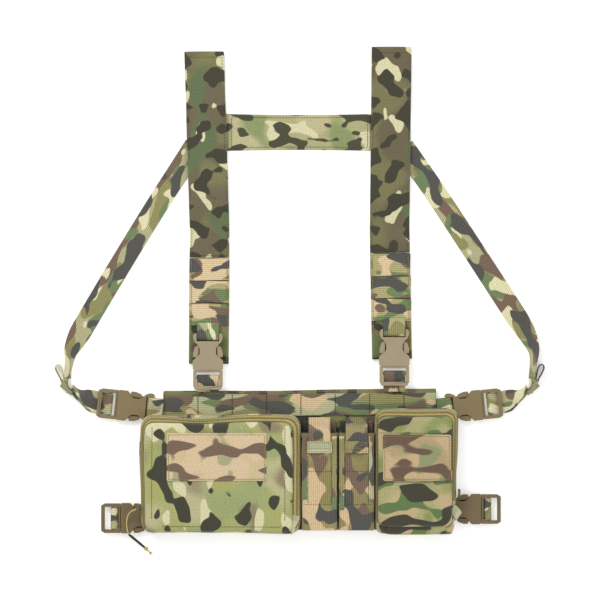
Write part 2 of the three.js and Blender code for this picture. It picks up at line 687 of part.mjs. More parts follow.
// ---- Assembly ----
makePanel();
makeSleeve("left_shoulder_sleeve", STRAP_LEFT_X, sleeveEndLeft, PANEL_TOP + STRAP_LEFT_REACH);
makeSleeve("right_shoulder_sleeve", STRAP_RIGHT_X, sleeveEndRight, PANEL_TOP + STRAP_RIGHT_REACH);
makeTail("left_strap_tail", STRAP_LEFT_X, tailTopLeft, SHOULDER_LEFT_X, mouthLeft);
makeTail("right_strap_tail", STRAP_RIGHT_X, tailTopRight, SHOULDER_RIGHT_X, mouthRight);
makeCrossStrap();
makeShoulderBuckle("left_shoulder", SHOULDER_LEFT_X, SHOULDER_LEFT_LIFT, "#a79a7b");
makeShoulderBuckle("right_shoulder", SHOULDER_RIGHT_X, SHOULDER_RIGHT_LIFT, "#a79a7b");
makeUpperSide("left", -1, STRAP_LEFT_X, sleeveEndLeft);
makeUpperSide("right", 1, STRAP_RIGHT_X, sleeveEndRight);
const waistLeft = makeLowerSide("left", -1, LOWER_LEFT_REACH, LOWER_LEFT_DROP);
const waistRight = makeLowerSide("right", 1, LOWER_RIGHT_REACH, LOWER_RIGHT_DROP);
makeWaistStrap(waistLeft, waistRight);
makePouch("left_pouch", LEFT_POUCH, LEFT_PATCH, "#a6a366");
makePouch("right_pouch", RIGHT_POUCH, RIGHT_PATCH, FABRIC.tan);
makeSlider("left_zip_slider", -1, LEFT_POUCH.right - LEFT_POUCH.width, LEFT_SLIDER_Y);
makeSlider("right_zip_slider", 1, RIGHT_POUCH.right, RIGHT_SLIDER_Y);
const magLeft = LEFT_POUCH.right + MAG_SPACING;
makeMagPouch("left", magLeft);
makeMagPouch("right", magLeft + MAG_WIDTH + MAG_SPACING);
makeCord();

export default root;
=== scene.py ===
# %% [markdown]
# # A chest rig, laid flat
# The rig is nylon cloth and webbing with moulded buckles, so nearly everything here is soft.
# The frame is the rigid model that all of it follows: each piece takes its place from the frame's nodes,
# and rides on the frame's bodies, so that the buckles, lids and flaps still move.

# %% Load the frame
import json
import math

import bmesh
import bpy
import numpy as np
from mathutils import Matrix, Vector, noise
from mathutils.bvhtree import BVHTree


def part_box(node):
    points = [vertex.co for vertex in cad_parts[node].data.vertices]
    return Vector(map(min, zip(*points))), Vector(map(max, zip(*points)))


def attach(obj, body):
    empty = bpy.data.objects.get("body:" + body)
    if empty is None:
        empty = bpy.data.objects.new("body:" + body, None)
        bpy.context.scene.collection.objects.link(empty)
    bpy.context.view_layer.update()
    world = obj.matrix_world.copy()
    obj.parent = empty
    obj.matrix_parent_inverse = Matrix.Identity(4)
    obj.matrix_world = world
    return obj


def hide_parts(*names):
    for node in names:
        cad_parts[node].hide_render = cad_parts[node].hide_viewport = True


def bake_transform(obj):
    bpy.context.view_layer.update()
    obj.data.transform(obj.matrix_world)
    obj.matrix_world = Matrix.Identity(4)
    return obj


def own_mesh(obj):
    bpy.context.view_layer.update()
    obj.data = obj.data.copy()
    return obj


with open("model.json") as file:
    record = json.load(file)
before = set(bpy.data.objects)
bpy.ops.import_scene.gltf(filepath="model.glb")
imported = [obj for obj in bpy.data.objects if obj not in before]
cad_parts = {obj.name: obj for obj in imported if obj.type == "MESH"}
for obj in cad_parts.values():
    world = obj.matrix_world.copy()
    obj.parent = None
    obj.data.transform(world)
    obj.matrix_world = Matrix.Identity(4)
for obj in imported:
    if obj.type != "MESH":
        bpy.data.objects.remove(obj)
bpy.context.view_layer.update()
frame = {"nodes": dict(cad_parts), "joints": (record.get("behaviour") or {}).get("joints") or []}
MM = 0.001

# %% [markdown]
# ## Camera, floor and light
# The camera looks straight down through a long lens, so that tall pouches don't lean outwards.
# One large soft light from above and a bright surround leave only faint shadows under the straps.

# %% Camera
VIEW_WIDTH = 690 * MM
VIEW_CENTRE = Vector((0.35, -11.5, 0)) * MM
CAMERA_HEIGHT = 6.0
MIDDLE_LEVEL = 10 * MM  # the level at which the view is VIEW_WIDTH wide

camera_data = bpy.data.cameras.new("camera")
camera_data.sensor_width = 36
camera_data.lens = camera_data.sensor_width * (CAMERA_HEIGHT - MIDDLE_LEVEL) / VIEW_WIDTH
camera_data.clip_end = 20
camera = bpy.data.objects.new("camera", camera_data)
camera.location = VIEW_CENTRE + Vector((0, 0, CAMERA_HEIGHT))
bpy.context.scene.collection.objects.link(camera)
bpy.context.scene.camera = camera
print("lens", round(camera_data.lens), "mm")


# %% A helper that adds a node, and one that reads a hex colour
def linear(hex_colour):
    channels = [int(hex_colour[i : i + 2], 16) / 255 for i in (1, 3, 5)]
    return tuple(c / 12.92 if c <= 0.04045 else ((c + 0.055) / 1.055) ** 2.4 for c in channels) + (1.0,)


def add_node(tree, kind, settings=None, inputs=None):
    node = tree.nodes.new(kind)
    for key, value in (settings or {}).items():
        setattr(node, key, value)
    for key, value in (inputs or {}).items():
        if isinstance(value, bpy.types.NodeSocket):
            tree.links.new(value, node.inputs[key])
        else:
            node.inputs[key].default_value = value
    return node


def new_material(name, **shader_inputs):
    """A material with only its shader, whose plain values are set on the shader itself."""
    made = bpy.data.materials.new(name)
    made.use_nodes = True
    made.node_tree.nodes.clear()
    shader = add_node(made.node_tree, "ShaderNodeBsdfPrincipled", inputs=shader_inputs)
    add_node(made.node_tree, "ShaderNodeOutputMaterial", inputs={"Surface": shader.outputs[0]})
    return made, made.node_tree, shader


# %% Floor, surround and lights
def build_studio():
    floor_mesh = bpy.data.meshes.new("floor")
    half = 3.0
    floor_mesh.from_pydata(
        [(-half, -half, 0), (half, -half, 0), (half, half, 0), (-half, half, 0)], [], [(0, 1, 2, 3)]
    )
    floor = bpy.data.objects.new("floor", floor_mesh)
    glow = {"Emission Color": (1, 1, 1, 1), "Emission Strength": 0.34}
    paper, _, _ = new_material("studio_paper", **{"Base Color": linear("#fbfbfa"), "Roughness": 0.9}, **glow)
    floor_mesh.materials.append(paper)
    floor.location.z = -0.0005
    bpy.context.scene.collection.objects.link(floor)
    world = bpy.data.worlds.new("surround")
    world.use_nodes = True
    world.node_tree.nodes["Background"].inputs["Color"].default_value = (1, 1, 1, 1)
    world.node_tree.nodes["Background"].inputs["Strength"].default_value = 0.64
    bpy.context.scene.world = world
    for name, place, size, power in (
        ("key_softbox", (-0.8, 1.0, 1.7), 1.2, 21),
        ("fill_softbox", (1.2, -0.7, 1.8), 1.6, 10),
    ):
        data = bpy.data.lights.new(name, "AREA")
        data.size = size
        data.energy = power
        light = bpy.data.objects.new(name, data)
        light.location = place
        light.rotation_euler = (Vector((0, 0, 0)) - Vector(place)).to_track_quat("-Z", "Y").to_euler()
        bpy.context.scene.collection.objects.link(light)
    bpy.context.scene.view_settings.view_transform = "Standard"


build_studio()

# %% [markdown]
# ## Cloth and its printed pattern
# The real cloth is nylon, woven, then printed with soft patches and hard-edged blots. The print here is a
# generic one of its own: each layer is a noise field cut at a threshold, so a few sizes and colours make
# every piece different. Coordinates come from a UV map in metres that each piece lays along its own length,
# so that print and weave follow a strap round its bends and stay put when it moves.


# %% One layer of print
def print_layer(tree, uv, below, colour, seed, size, cover, edge, stretch=(1.0, 1.0), distortion=0.12):
    """Mixes a colour over `below` where a noise field passes its threshold. Blots are `size` mm wide."""
    scale = 1 / (size * MM)
    place = add_node(
        tree,
        "ShaderNodeMapping",
        inputs={
            "Vector": uv,
            "Location": (seed * 3.71, seed * 1.93, 0),
            "Scale": (scale / stretch[0], scale / stretch[1], 1),
        },
    )
    field = add_node(
        tree,
        "ShaderNodeTexNoise",
        {"noise_dimensions": "2D"},
        {"Vector": place.outputs[0], "Scale": 1.0, "Detail": 0.7, "Roughness": 0.4, "Distortion": distortion},
    )
    level = 0.5 + (0.5 - cover) * 0.4
    mask = add_node(
        tree,
        "ShaderNodeMapRange",
        {"interpolation_type": "SMOOTHSTEP"},
        {"Value": field.outputs["Fac"], "From Min": level - edge, "From Max": level + edge},
    )
    return mix_colour(tree, mask.outputs[0], below, linear(colour))


def mix_colour(tree, factor, a, b, blend="MIX"):
    node = add_node(tree, "ShaderNodeMix", {"data_type": "RGBA", "blend_type": blend})
    for index, value in ((0, factor), (6, a), (7, b)):
        if isinstance(value, bpy.types.NodeSocket):
            tree.links.new(value, node.inputs[index])
        else:
            node.inputs[index].default_value = value
    return node.outputs[2]


# %% [markdown]
# ### Weaves
# Pouch cloth is a plain weave of coarse yarn, about 0.5 mm apart, drawn at 1.6 mm because finer would not
# show. Webbing has ribs along it about 1 mm apart, drawn at 2.2 mm. Loop fabric is a brushed pile with no
# weave at all. Nylon has an IOR near 1.53, and in cloth it looks rough with a little sheen from loose
# fibres.


# %% Weaves as height fields
def weave_height(tree, uv, kind):
    pitch = {"cloth": 1.6, "webbing": 2.2, "pile": 1.3, "mesh": 3.2}[kind] * MM
    if kind == "pile":
        inputs = {"Vector": uv, "Scale": 1 / pitch, "Detail": 3.0}
        return add_node(tree, "ShaderNodeTexNoise", {"noise_dimensions": "2D"}, inputs).outputs["Fac"]
    if kind == "mesh":
        inputs = {"Vector": uv, "Scale": 1 / pitch, "Randomness": 0.0}
        return add_node(
            tree, "ShaderNodeTexVoronoi", {"voronoi_dimensions": "2D"}, inputs
        ).outputs["Distance"]
    waves = []
    for direction, share in (("X", 1.0), ("Y", 1.0 if kind == "cloth" else 0.55)):
        settings = {"wave_type": "BANDS", "bands_direction": direction, "wave_profile": "SIN"}
        # One band of a wave texture of scale 1 is 0.314 units wide.
        inputs = {"Vector": uv, "Scale": 0.314 / (pitch * share), "Distortion": 0.5, "Detail": 0.0}
        waves.append(add_node(tree, "ShaderNodeTexWave", settings, inputs).outputs["Fac"])
    if kind == "webbing":
        # The ribs run along webbing, and the finer crossings only show between them.
        finer = add_node(tree, "ShaderNodeMapRange", inputs={"Value": waves[1], "To Min": 0.75})
        waves[1] = finer.outputs[0]
    return add_node(tree, "ShaderNodeMath", {"operation": "MULTIPLY"}, {0: waves[0], 1: waves[1]}).outputs[0]


def finish_cloth(tree, shader, uv, colour, kind, depth=0.3, shade=0.2):
    """Shades a print by its weave, adds yarn-to-yarn variation, and sets the bump."""
    height = weave_height(tree, uv, kind)
    speck = add_node(
        tree,
        "ShaderNodeTexNoise",
        {"noise_dimensions": "2D"},
        {"Vector": uv, "Scale": 1 / (2.1 * MM), "Detail": 2.0, "Roughness": 0.7},
    )
    for source, low, high in ((speck.outputs["Fac"], 0.78, 1.28), (height, 1 - shade * 0.6, 1 + shade)):
        value = add_node(tree, "ShaderNodeMapRange", inputs={"Value": source, "To Min": low, "To Max": high})
        grey = add_node(tree, "ShaderNodeCombineColor", inputs={i: value.outputs[0] for i in range(3)})
        colour = mix_colour(tree, 1.0, colour, grey.outputs[0], "MULTIPLY")
    tree.links.new(colour, shader.inputs["Base Color"])
    bump = add_node(
        tree, "ShaderNodeBump", inputs={"Strength": depth, "Distance": 0.5 * MM, "Height": height}
    )
    tree.links.new(bump.outputs[0], shader.inputs["Normal"])


def printed_cloth(name, ground, layers, kind="cloth", roughness=0.86, sheen=0.25):
    made, tree, shader = new_material(name, Roughness=roughness, IOR=1.53)
    shader.inputs["Sheen Weight"].default_value = sheen
    shader.inputs["Sheen Roughness"].default_value = 0.5
    uv = add_node(tree, "ShaderNodeUVMap", {"uv_map": "UVMap"}).outputs[0]
    colour = linear(ground)
    for layer in layers:
        colour = print_layer(tree, uv, colour, **layer)
    finish_cloth(tree, shader, uv, colour, kind, shade=0.34 if kind == "webbing" else 0.22)
    return made


# %% [markdown]
# ### The materials themselves
# Each piece of cloth is cut from another part of the print, so each gets its own ground and blots. The list
# of layers runs from the ground up: broad soft patches first, then the blots with sharp edges that lie on
# top.

# %% Blots shared by the prints
DARK = "#393828"
CHAR = "#4a4943"
BROWN = "#6f5a49"
CREAM = "#d3cda4"
TAN = "#c6ad86"


def blots(colour, seed, size, cover, stretch=(1.0, 1.0), edge=0.012):
    return dict(colour=colour, seed=seed, size=size, cover=cover, stretch=stretch, edge=edge)


def patches(colour, seed, size, cover, stretch=(1.0, 1.0), edge=0.07):
    return dict(colour=colour, seed=seed, size=size, cover=cover, stretch=stretch, edge=edge)


# %% Printed cloth and webbing
left_pouch_cloth = printed_cloth(
    "left_pouch_printed_nylon",
    "#a3a565",
    [
        patches("#96a06b", 2, 60, 0.42),
        patches("#b6b184", 5, 66, 0.32),
        patches("#8b7d60", 9, 44, 0.16),
        blots(CREAM, 3, 24, 0.1, (0.8, 1.5)),
        blots(DARK, 17, 24, 0.23, (1.0, 1.2)),
    ],
)
right_pouch_cloth = printed_cloth(
    "right_pouch_printed_nylon",
    "#bba77d",
    [
        patches("#a5a16f", 4, 50, 0.4),
        patches("#858d50", 12, 40, 0.28),
        blots("#5c7442", 6, 28, 0.2, (1.4, 0.8)),
        blots("#3b3828", 19, 30, 0.33, (1.5, 0.8)),
    ],
)
left_pile = printed_cloth(
    "left_patch_printed_loop_pile",
    "#cab391",
    [
        patches("#c0ae86", 8, 40, 0.35),
        blots("#9c9d75", 11, 26, 0.2, (1.0, 1.0), 0.02),
        blots(BROWN, 2, 22, 0.27, (1.6, 0.8), 0.02),
    ],
    kind="pile",
    roughness=0.95,
    sheen=0.4,
)
right_pile = printed_cloth(
    "right_patch_printed_loop_pile",
    "#b7a07a",
    [
        patches("#a5926b", 18, 34, 0.35),
        blots("#878b64", 21, 26, 0.25, (1.2, 0.9), 0.02),
        blots("#624d3e", 28, 25, 0.38, (1.9, 0.8), 0.02),
    ],
    kind="pile",
    roughness=0.95,
    sheen=0.4,
)
left_sleeve_cloth = printed_cloth(
    "left_sleeve_printed_nylon",
    "#685f45",
    [
        patches("#77754c", 1, 50, 0.42),
        patches("#5d6b46", 14, 46, 0.27, (1.1, 1.2), 0.04),
        blots(CREAM, 29, 20, 0.09, (0.9, 1.4)),
        blots("#3a3726", 25, 19, 0.29, (1.1, 1.0)),
    ],
)
right_sleeve_cloth = printed_cloth(
    "right_sleeve_printed_nylon",
    "#665c43",
    [
        patches("#75714a", 31, 50, 0.42),
        patches("#5d6b46", 34, 44, 0.26, (1.1, 1.2), 0.04),
        blots(CREAM, 38, 20, 0.08, (0.9, 1.4)),
        blots("#3a3726", 36, 20, 0.34, (1.1, 1.0)),
    ],
)
cross_cloth = printed_cloth(
    "cross_strap_printed_nylon",
    "#aaa678",
    [
        patches("#b9b186", 3, 46, 0.4),
        patches("#87925f", 16, 42, 0.28),
        blots(CREAM, 6, 26, 0.16, (1.4, 0.9)),
        blots("#45432f", 13, 18, 0.3, (1.5, 0.9)),
    ],
)
panel_cloth = printed_cloth(
    "panel_printed_nylon",
    "#7f7c4b",
    [
        patches("#697848", 21, 50, 0.4),
        blots(BROWN, 23, 28, 0.28, (1.4, 0.9)),
        blots(DARK, 27, 19, 0.28, (1.4, 0.9)),
    ],
)
mag_cloth = printed_cloth(
    "magazine_pouch_printed_webbing",
    "#8f8557",
    [
        patches("#847b4b", 41, 30, 0.4),
        blots(BROWN, 45, 24, 0.33, (0.9, 1.5)),
        blots(CHAR, 49, 22, 0.27, (1.1, 1.3)),
        blots(TAN, 43, 30, 0.3, (0.9, 1.5)),
    ],
    kind="webbing",
)
right_mag_cloth = printed_cloth(
    "right_magazine_pouch_printed_webbing",
    "#877d50",
    [
        patches("#7b7245", 41, 30, 0.4),
        blots(TAN, 43, 24, 0.12, (0.9, 1.4)),
        blots(BROWN, 46, 24, 0.3, (0.9, 1.5)),
        blots(CHAR, 52, 24, 0.3, (1.1, 1.4)),
    ],
    kind="webbing",
)
row_webbing = printed_cloth(
    "attachment_row_webbing",
    "#a7a881",
    [
        blots("#8a8453", 51, 50, 0.45, (0.8, 1.7)),
        blots("#67794f", 53, 36, 0.3, (0.6, 1.8)),
        blots(TAN, 55, 32, 0.22, (0.8, 1.6)),
        blots(BROWN, 58, 32, 0.3, (0.8, 1.6)),
        blots(CHAR, 57, 24, 0.32, (0.7, 1.6)),
    ],
    kind="webbing",
)
strap_webbing = printed_cloth(
    "strap_webbing",
    "#a5a279",
    [
        blots("#878252", 61, 32, 0.4, (0.9, 1.6)),
        blots(BROWN, 63, 28, 0.28, (0.9, 1.6)),
        blots("#67794f", 66, 28, 0.26, (0.9, 1.6)),
        blots(CREAM, 65, 22, 0.25, (0.8, 1.5)),
        blots(CHAR, 68, 21, 0.31, (0.9, 1.5)),
    ],
    kind="webbing",
)
tail_webbing = printed_cloth(
    "strap_tail_webbing",
    "#a29a69",
    [
        blots("#66794e", 71, 28, 0.33, (0.8, 1.4)),
        blots(BROWN, 73, 28, 0.33, (0.8, 1.4)),
        blots("#cdb68f", 75, 26, 0.33, (0.8, 1.6)),
        blots(CHAR, 77, 20, 0.3, (0.8, 1.4)),
    ],
    kind="webbing",
)
pull_tab_webbing = printed_cloth(
    "pull_tab_webbing", "#a3a582", [patches("#b9b795", 81, 16, 0.4)], kind="webbing"
)
print("printed cloths", sum(1 for m in bpy.data.materials if "printed" in m.name or "webbing" in m.name))

# %% [markdown]
# ### Plain finishes
# Zipper tape, elastic, mesh lining, thread and cord are dyed in the yarn, so each is one colour that only
# its weave and wear vary. The buckles are moulded acetal: satin, IOR 1.48, with a fine spark-eroded grain
# from the mould. The sliders are zinc castings under dull paint.


# %% Dyed textiles
def dyed_textile(name, colour, kind, roughness=0.88, sheen=0.2, depth=0.35, shade=0.3):
    made, tree, shader = new_material(name, Roughness=roughness, IOR=1.53)
    shader.inputs["Sheen Weight"].default_value = sheen
    uv = add_node(tree, "ShaderNodeUVMap", {"uv_map": "UVMap"}).outputs[0]
    wear = print_layer(tree, uv, linear(colour), colour, 3, 40, 0.5, 0.2)
    finish_cloth(tree, shader, uv, wear, kind, depth, shade)
    return made


zipper_tape = dyed_textile("zipper_tape", "#b1a168", "cloth", depth=0.25, shade=0.18)
elastic_web = dyed_textile("ribbed_elastic", "#8d8766", "webbing", depth=0.5)
mesh_lining = dyed_textile("spacer_mesh_lining", "#4c4a36", "mesh", depth=0.8, shade=0.5)
binding_tape = dyed_textile("binding_tape", "#6d6a44", "webbing")


# %% Thread, cord and moulded parts
def speckled(name, colour, roughness, ior, grain_mm, contrast, metallic=0.0, bump=0.15):
    """A solid colour with a fine grain in its tone, its gloss and its surface."""
    made, tree, shader = new_material(name, Roughness=roughness, IOR=ior, Metallic=metallic)
    place = add_node(tree, "ShaderNodeTexCoord").outputs["Object"]
    grain = add_node(
        tree, "ShaderNodeTexNoise", inputs={"Vector": place, "Scale": 1 / (grain_mm * MM), "Detail": 3.0}
    )
    cloud = add_node(
        tree, "ShaderNodeTexNoise", inputs={"Vector": place, "Scale": 1 / (14 * MM), "Detail": 2.0}
    )
    tone = linear(colour)
    for source, spread in ((grain, contrast), (cloud, contrast * 1.2)):
        value = add_node(
            tree, "ShaderNodeMapRange",
            inputs={"Value": source.outputs["Fac"], "To Min": 1 - spread, "To Max": 1 + spread},
        )
        grey = add_node(tree, "ShaderNodeCombineColor", inputs={i: value.outputs[0] for i in range(3)})
        tone = mix_colour(tree, 1.0, tone, grey.outputs[0], "MULTIPLY")
    tree.links.new(tone, shader.inputs["Base Color"])
    rough = add_node(
        tree,
        "ShaderNodeMapRange",
        inputs={"Value": grain.outputs["Fac"], "To Min": roughness - 0.06, "To Max": roughness + 0.08},
    )
    tree.links.new(rough.outputs[0], shader.inputs["Roughness"])
    height = add_node(
        tree, "ShaderNodeBump",
        inputs={"Strength": bump, "Distance": 0.2 * MM, "Height": grain.outputs["Fac"]},
    )
    tree.links.new(height.outputs[0], shader.inputs["Normal"])
    return made


thread = speckled("bonded_nylon_thread", "#8f8658", 0.6, 1.53, 0.5, 0.2)
dark_thread = speckled("dark_nylon_thread", "#4d4a30", 0.6, 1.53, 0.5, 0.2)
zip_coil = speckled("nylon_zip_coil", "#8a7d48", 0.45, 1.53, 0.6, 0.15)
shoulder_acetal = speckled("moulded_acetal_tan", "#9c8e72", 0.5, 1.48, 1.2, 0.05)
upper_acetal = speckled("moulded_acetal_khaki", "#7f6e4b", 0.5, 1.48, 1.2, 0.05)
lower_acetal = speckled("moulded_acetal_brown", "#6f5f3f", 0.5, 1.48, 1.2, 0.05)
painted_zinc = speckled("painted_zinc", "#5d5a3c", 0.42, 1.5, 0.8, 0.12)
cord_yarn = speckled("braided_nylon_cord", "#c3b26a", 0.75, 1.53, 0.7, 0.22, bump=0.5)
shrink_tube = speckled("shrink_tube", "#26241c", 0.45, 1.5, 1.5, 0.1)

# %% [markdown]
# ## Making pieces
# Most pieces here are one of three kinds: a band of webbing swept along a path, a stack of rounded loops
# that makes a stuffed shell, or a row of stitches. Sweeping keeps the width of the webbing true round every
# bend, which bending a flat mesh would not. Each helper lays the UV map in metres as it goes.


# %% A piece from points and faces
def new_piece(name, points, faces, uvs, material, body=None, replaces=(), slot=None):
    """`uvs` holds a pair, in metres, per point. The piece rides on `body`, if one is given."""
    mesh = bpy.data.meshes.new(name)
    mesh.from_pydata([tuple(p) for p in points], [], faces)
    layer = mesh.uv_layers.new(name="UVMap")
    for loop in mesh.loops:
        layer.data[loop.index].uv = uvs[loop.vertex_index]
    work = bmesh.new()
    work.from_mesh(mesh)
    bmesh.ops.recalc_face_normals(work, faces=work.faces)
    work.to_mesh(mesh)
    work.free()
    mesh.materials.append(material)
    mesh.polygons.foreach_set("use_smooth", [True] * len(mesh.polygons))
    piece = bpy.data.objects.new(name, mesh)
    bpy.context.scene.collection.objects.link(piece)
    if body:
        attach(piece, body)
    if replaces:
        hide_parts(*replaces)
    return piece


def bake_modifiers(piece):
    """Turns a piece's modifiers into mesh."""
    graph = bpy.context.evaluated_depsgraph_get()
    finished = bpy.data.meshes.new_from_object(piece.evaluated_get(graph), depsgraph=graph)
    piece.modifiers.clear()
    piece.data = finished
    return piece


def refine(piece, levels=1, bake=False):
    soft = piece.modifiers.new("subdivision", "SUBSURF")
    soft.levels = levels
    soft.render_levels = levels
    return bake_modifiers(piece) if bake else piece


# %% Bands of webbing
# Across (-1 to 1) and through (-1 to 1): a flat tape with a slightly rolled edge, as narrow looms weave it.
TAPE_SECTION = [
    (-1.0, 0.0),
    (-0.985, 0.75),
    (-0.93, 1.0),
    (-0.84, 0.86),
    (-0.45, 0.84),
    (0.0, 0.84),
    (0.45, 0.84),
    (0.84, 0.86),
    (0.93, 1.0),
    (0.985, 0.75),
]
TAPE_SECTION += [(-s, -t) for s, t in TAPE_SECTION]


def smooth_path(points, rounds=2):
    """Cuts the corners of a path, which leaves its two ends in place."""
    path = [Vector(p) for p in points]
    for _ in range(rounds):
        cut = [path[0]]
        for a, b in zip(path, path[1:]):
            cut += [a.lerp(b, 0.25), a.lerp(b, 0.75)]
        path = cut + [path[-1]]
    return path


def resample(points, step):
    path = [Vector(p) for p in points]
    reach = [0.0]
    for a, b in zip(path, path[1:]):
        reach.append(reach[-1] + (b - a).length)
    count = max(2, round(reach[-1] / step) + 1)
    at = np.linspace(0, reach[-1], count)
    columns = [np.interp(at, reach, [p[i] for p in path]) for i in range(3)]
    return [Vector(p) for p in zip(*columns)]


def sweep(name, path, across, width, thickness, material, origin=(0.0, 0.0), crown=0.0, **how):
    """A band along `path`: `across` and `width` are one value, or one for each point of the path."""
    count = len(path)
    sides = across if isinstance(across, list) else [Vector(across)] * count
    widths = width if isinstance(width, list) else [width] * count
    points, uvs, faces = [], [], []
    distance = 0.0
    ring = len(TAPE_SECTION)
    for i, centre in enumerate(path):
        if i:
            distance += (centre - path[i - 1]).length
        tangent = (path[min(i + 1, count - 1)] - path[max(i - 1, 0)]).normalized()
        side = (sides[i] - tangent * sides[i].dot(tangent)).normalized()
        normal = side.cross(tangent).normalized()
        for s, t in TAPE_SECTION:
            swell = 1 + crown * (1 - s * s)
            points.append(centre + side * (s * widths[i] / 2) + normal * (t * swell * thickness / 2))
            uvs.append((origin[0] + s * widths[i] / 2, origin[1] + distance))
    for i in range(count - 1):
        for j in range(ring):
            a, b = i * ring + j, i * ring + (j + 1) % ring
            faces.append((a, b, b + ring, a + ring))
    faces.append(tuple(range(ring)))
    faces.append(tuple(range((count - 1) * ring, count * ring))[::-1])
    return new_piece(name, points, faces, uvs, material, **how)


def ease(value, low, high):
    """0 below `low`, 1 above `high`, and smooth between them."""
    share = max(0.0, min(1.0, (value - low) / (high - low)))
    return share * share * (3 - 2 * share)


# %% Rows of stitches
DASH = [(0.0, -0.5, 0.15), (0.0, 0.5, 0.15)]
DASH += [
    (0.5 * math.cos(a), y, 0.5 + 0.5 * math.sin(a)) for y in (-0.34, 0.34) for a in (0.3, 1.57, 2.84, 4.71)
]
DASH_FACES = [(0, 3, 2), (0, 4, 3), (0, 5, 4), (0, 2, 5), (1, 6, 7), (1, 7, 8), (1, 8, 9), (1, 9, 6)]
DASH_FACES += [(2 + i, 2 + (i + 1) % 4, 6 + (i + 1) % 4, 6 + i) for i in range(4)]


def sew(name, rows, body=None, material=None, pitch=3.4, normal=(0, 0, 1), size=(0.75, 2.5, 0.5), **how):
    """Stitches along each row of points: size is a stitch's width, length and height in millimetres."""
    up = Vector(normal).normalized()
    points, faces = [], []
    for row in rows:
        path = resample(row, pitch * MM)
        for a, b in zip(path, path[1:]):
            along = (b - a).normalized()
            middle = (a + b) / 2
            side = along.cross(up).normalized()
            first = len(points)
            for x, y, z in DASH:
                offset = side * (x * size[0]) + along * (y * size[1]) + up * ((z - 0.35) * size[2])
                points.append(middle + offset * MM)
            faces += [tuple(first + k for k in face) for face in DASH_FACES]
    uvs = [(p[0], p[1]) for p in points]
    return new_piece(name, points, faces, uvs, material or thread, body, **how)


def box_rows(x0, x1, y0, y1, z, cross=False):
    """The rows of a box stitch, with its cross if asked for, in millimetres."""
    corners = [(x0, y0, z), (x1, y0, z), (x1, y1, z), (x0, y1, z), (x0, y0, z)]
    rows = [[Vector(a) * MM, Vector(b) * MM] for a, b in zip(corners, corners[1:])]
    if cross:
        rows += [
            [Vector(corners[0]) * MM, Vector(corners[2]) * MM],
            [Vector(corners[1]) * MM, Vector(corners[3]) * MM],
        ]
    return rows


# %% Shells made from rounded loops
def rounded_loop(box, corner, per_side=14, per_corner=6):
    """Points round a rectangle (x0, x1, y0, y1) with rounded corners, always the same number of them."""
    x0, x1, y0, y1 = box
    corner = min(corner, (x1 - x0) / 2 * 0.98, (y1 - y0) / 2 * 0.98)
    centres = [
        (x1 - corner, y0 + corner), (x1 - corner, y1 - corner), (x0 + corner, y1 - corner),
        (x0 + corner, y0 + corner),
    ]
    loop = []
    for index, (cx, cy) in enumerate(centres):
        start = -math.pi / 2 + index * math.pi / 2
        arc = [start + math.pi / 2 * k / per_corner for k in range(per_corner + 1)]
        loop += [(cx + corner * math.cos(a), cy + corner * math.sin(a)) for a in arc]
        nx, ny = centres[(index + 1) % 4]
        end = start + math.pi / 2
        last = (cx + corner * math.cos(end), cy + corner * math.sin(end))
        following = (nx + corner * math.cos(end), ny + corner * math.sin(end))
        for k in range(1, per_side):
            f = k / per_side
            loop.append((last[0] + (following[0] - last[0]) * f, last[1] + (following[1] - last[1]) * f))
    return loop


def inset_box(box, d):
    return (box[0] + d, box[1] - d, box[2] + d, box[3] - d)


def loft(name, loops, heights, material, cap_low=False, cap_high=False, uv_side=True, **how):
    """Joins loops of points, in mm, into one skin. The UV map unrolls the sides onto the face's plane."""
    count = len(loops[0])
    points, uvs, faces = [], [], []
    for loop, level in zip(loops, heights):
        levels = level if isinstance(level, (list, tuple)) else [level] * count
        points += [Vector((x, y, z)) * MM for (x, y), z in zip(loop, levels)]
    face_loop = loops[-1] if uv_side else None
    centre = Vector((sum(x for x, _ in loops[-1]), sum(y for _, y in loops[-1]))) / count
    for i in range(len(loops)):
        for j in range(count):
            p = points[i * count + j] / MM
            out = Vector((p.x, p.y)) - centre
            drop = (heights[-1] if not isinstance(heights[-1], (list, tuple)) else heights[-1][j]) - p.z
            out = out.normalized() * max(drop, 0) if face_loop else Vector((0, 0))
            uvs.append(((p.x + out.x) * MM, (p.y + out.y) * MM))
    for i in range(len(loops) - 1):
        for j in range(count):
            a, b = i * count + j, i * count + (j + 1) % count
            faces.append((a, b, b + count, a + count))
    for wanted, first in ((cap_low, 0), (cap_high, (len(loops) - 1) * count)):
        if wanted:
            ring = list(range(first, first + count))
            middle = sum((points[k] for k in ring), Vector()) / count
            points.append(middle)
            uvs.append((middle.x, middle.y))
            faces += [(len(points) - 1, ring[j], ring[(j + 1) % count]) for j in range(count)]
    return new_piece(name, points, faces, uvs, material, **how)


def wrinkle(x, y, seed, size=28.0, height=0.6):
    """A smooth random height in millimetres for a point in millimetres, the same on every run."""
    return height * noise.noise(Vector((x / size, y / size, seed * 7.3)))


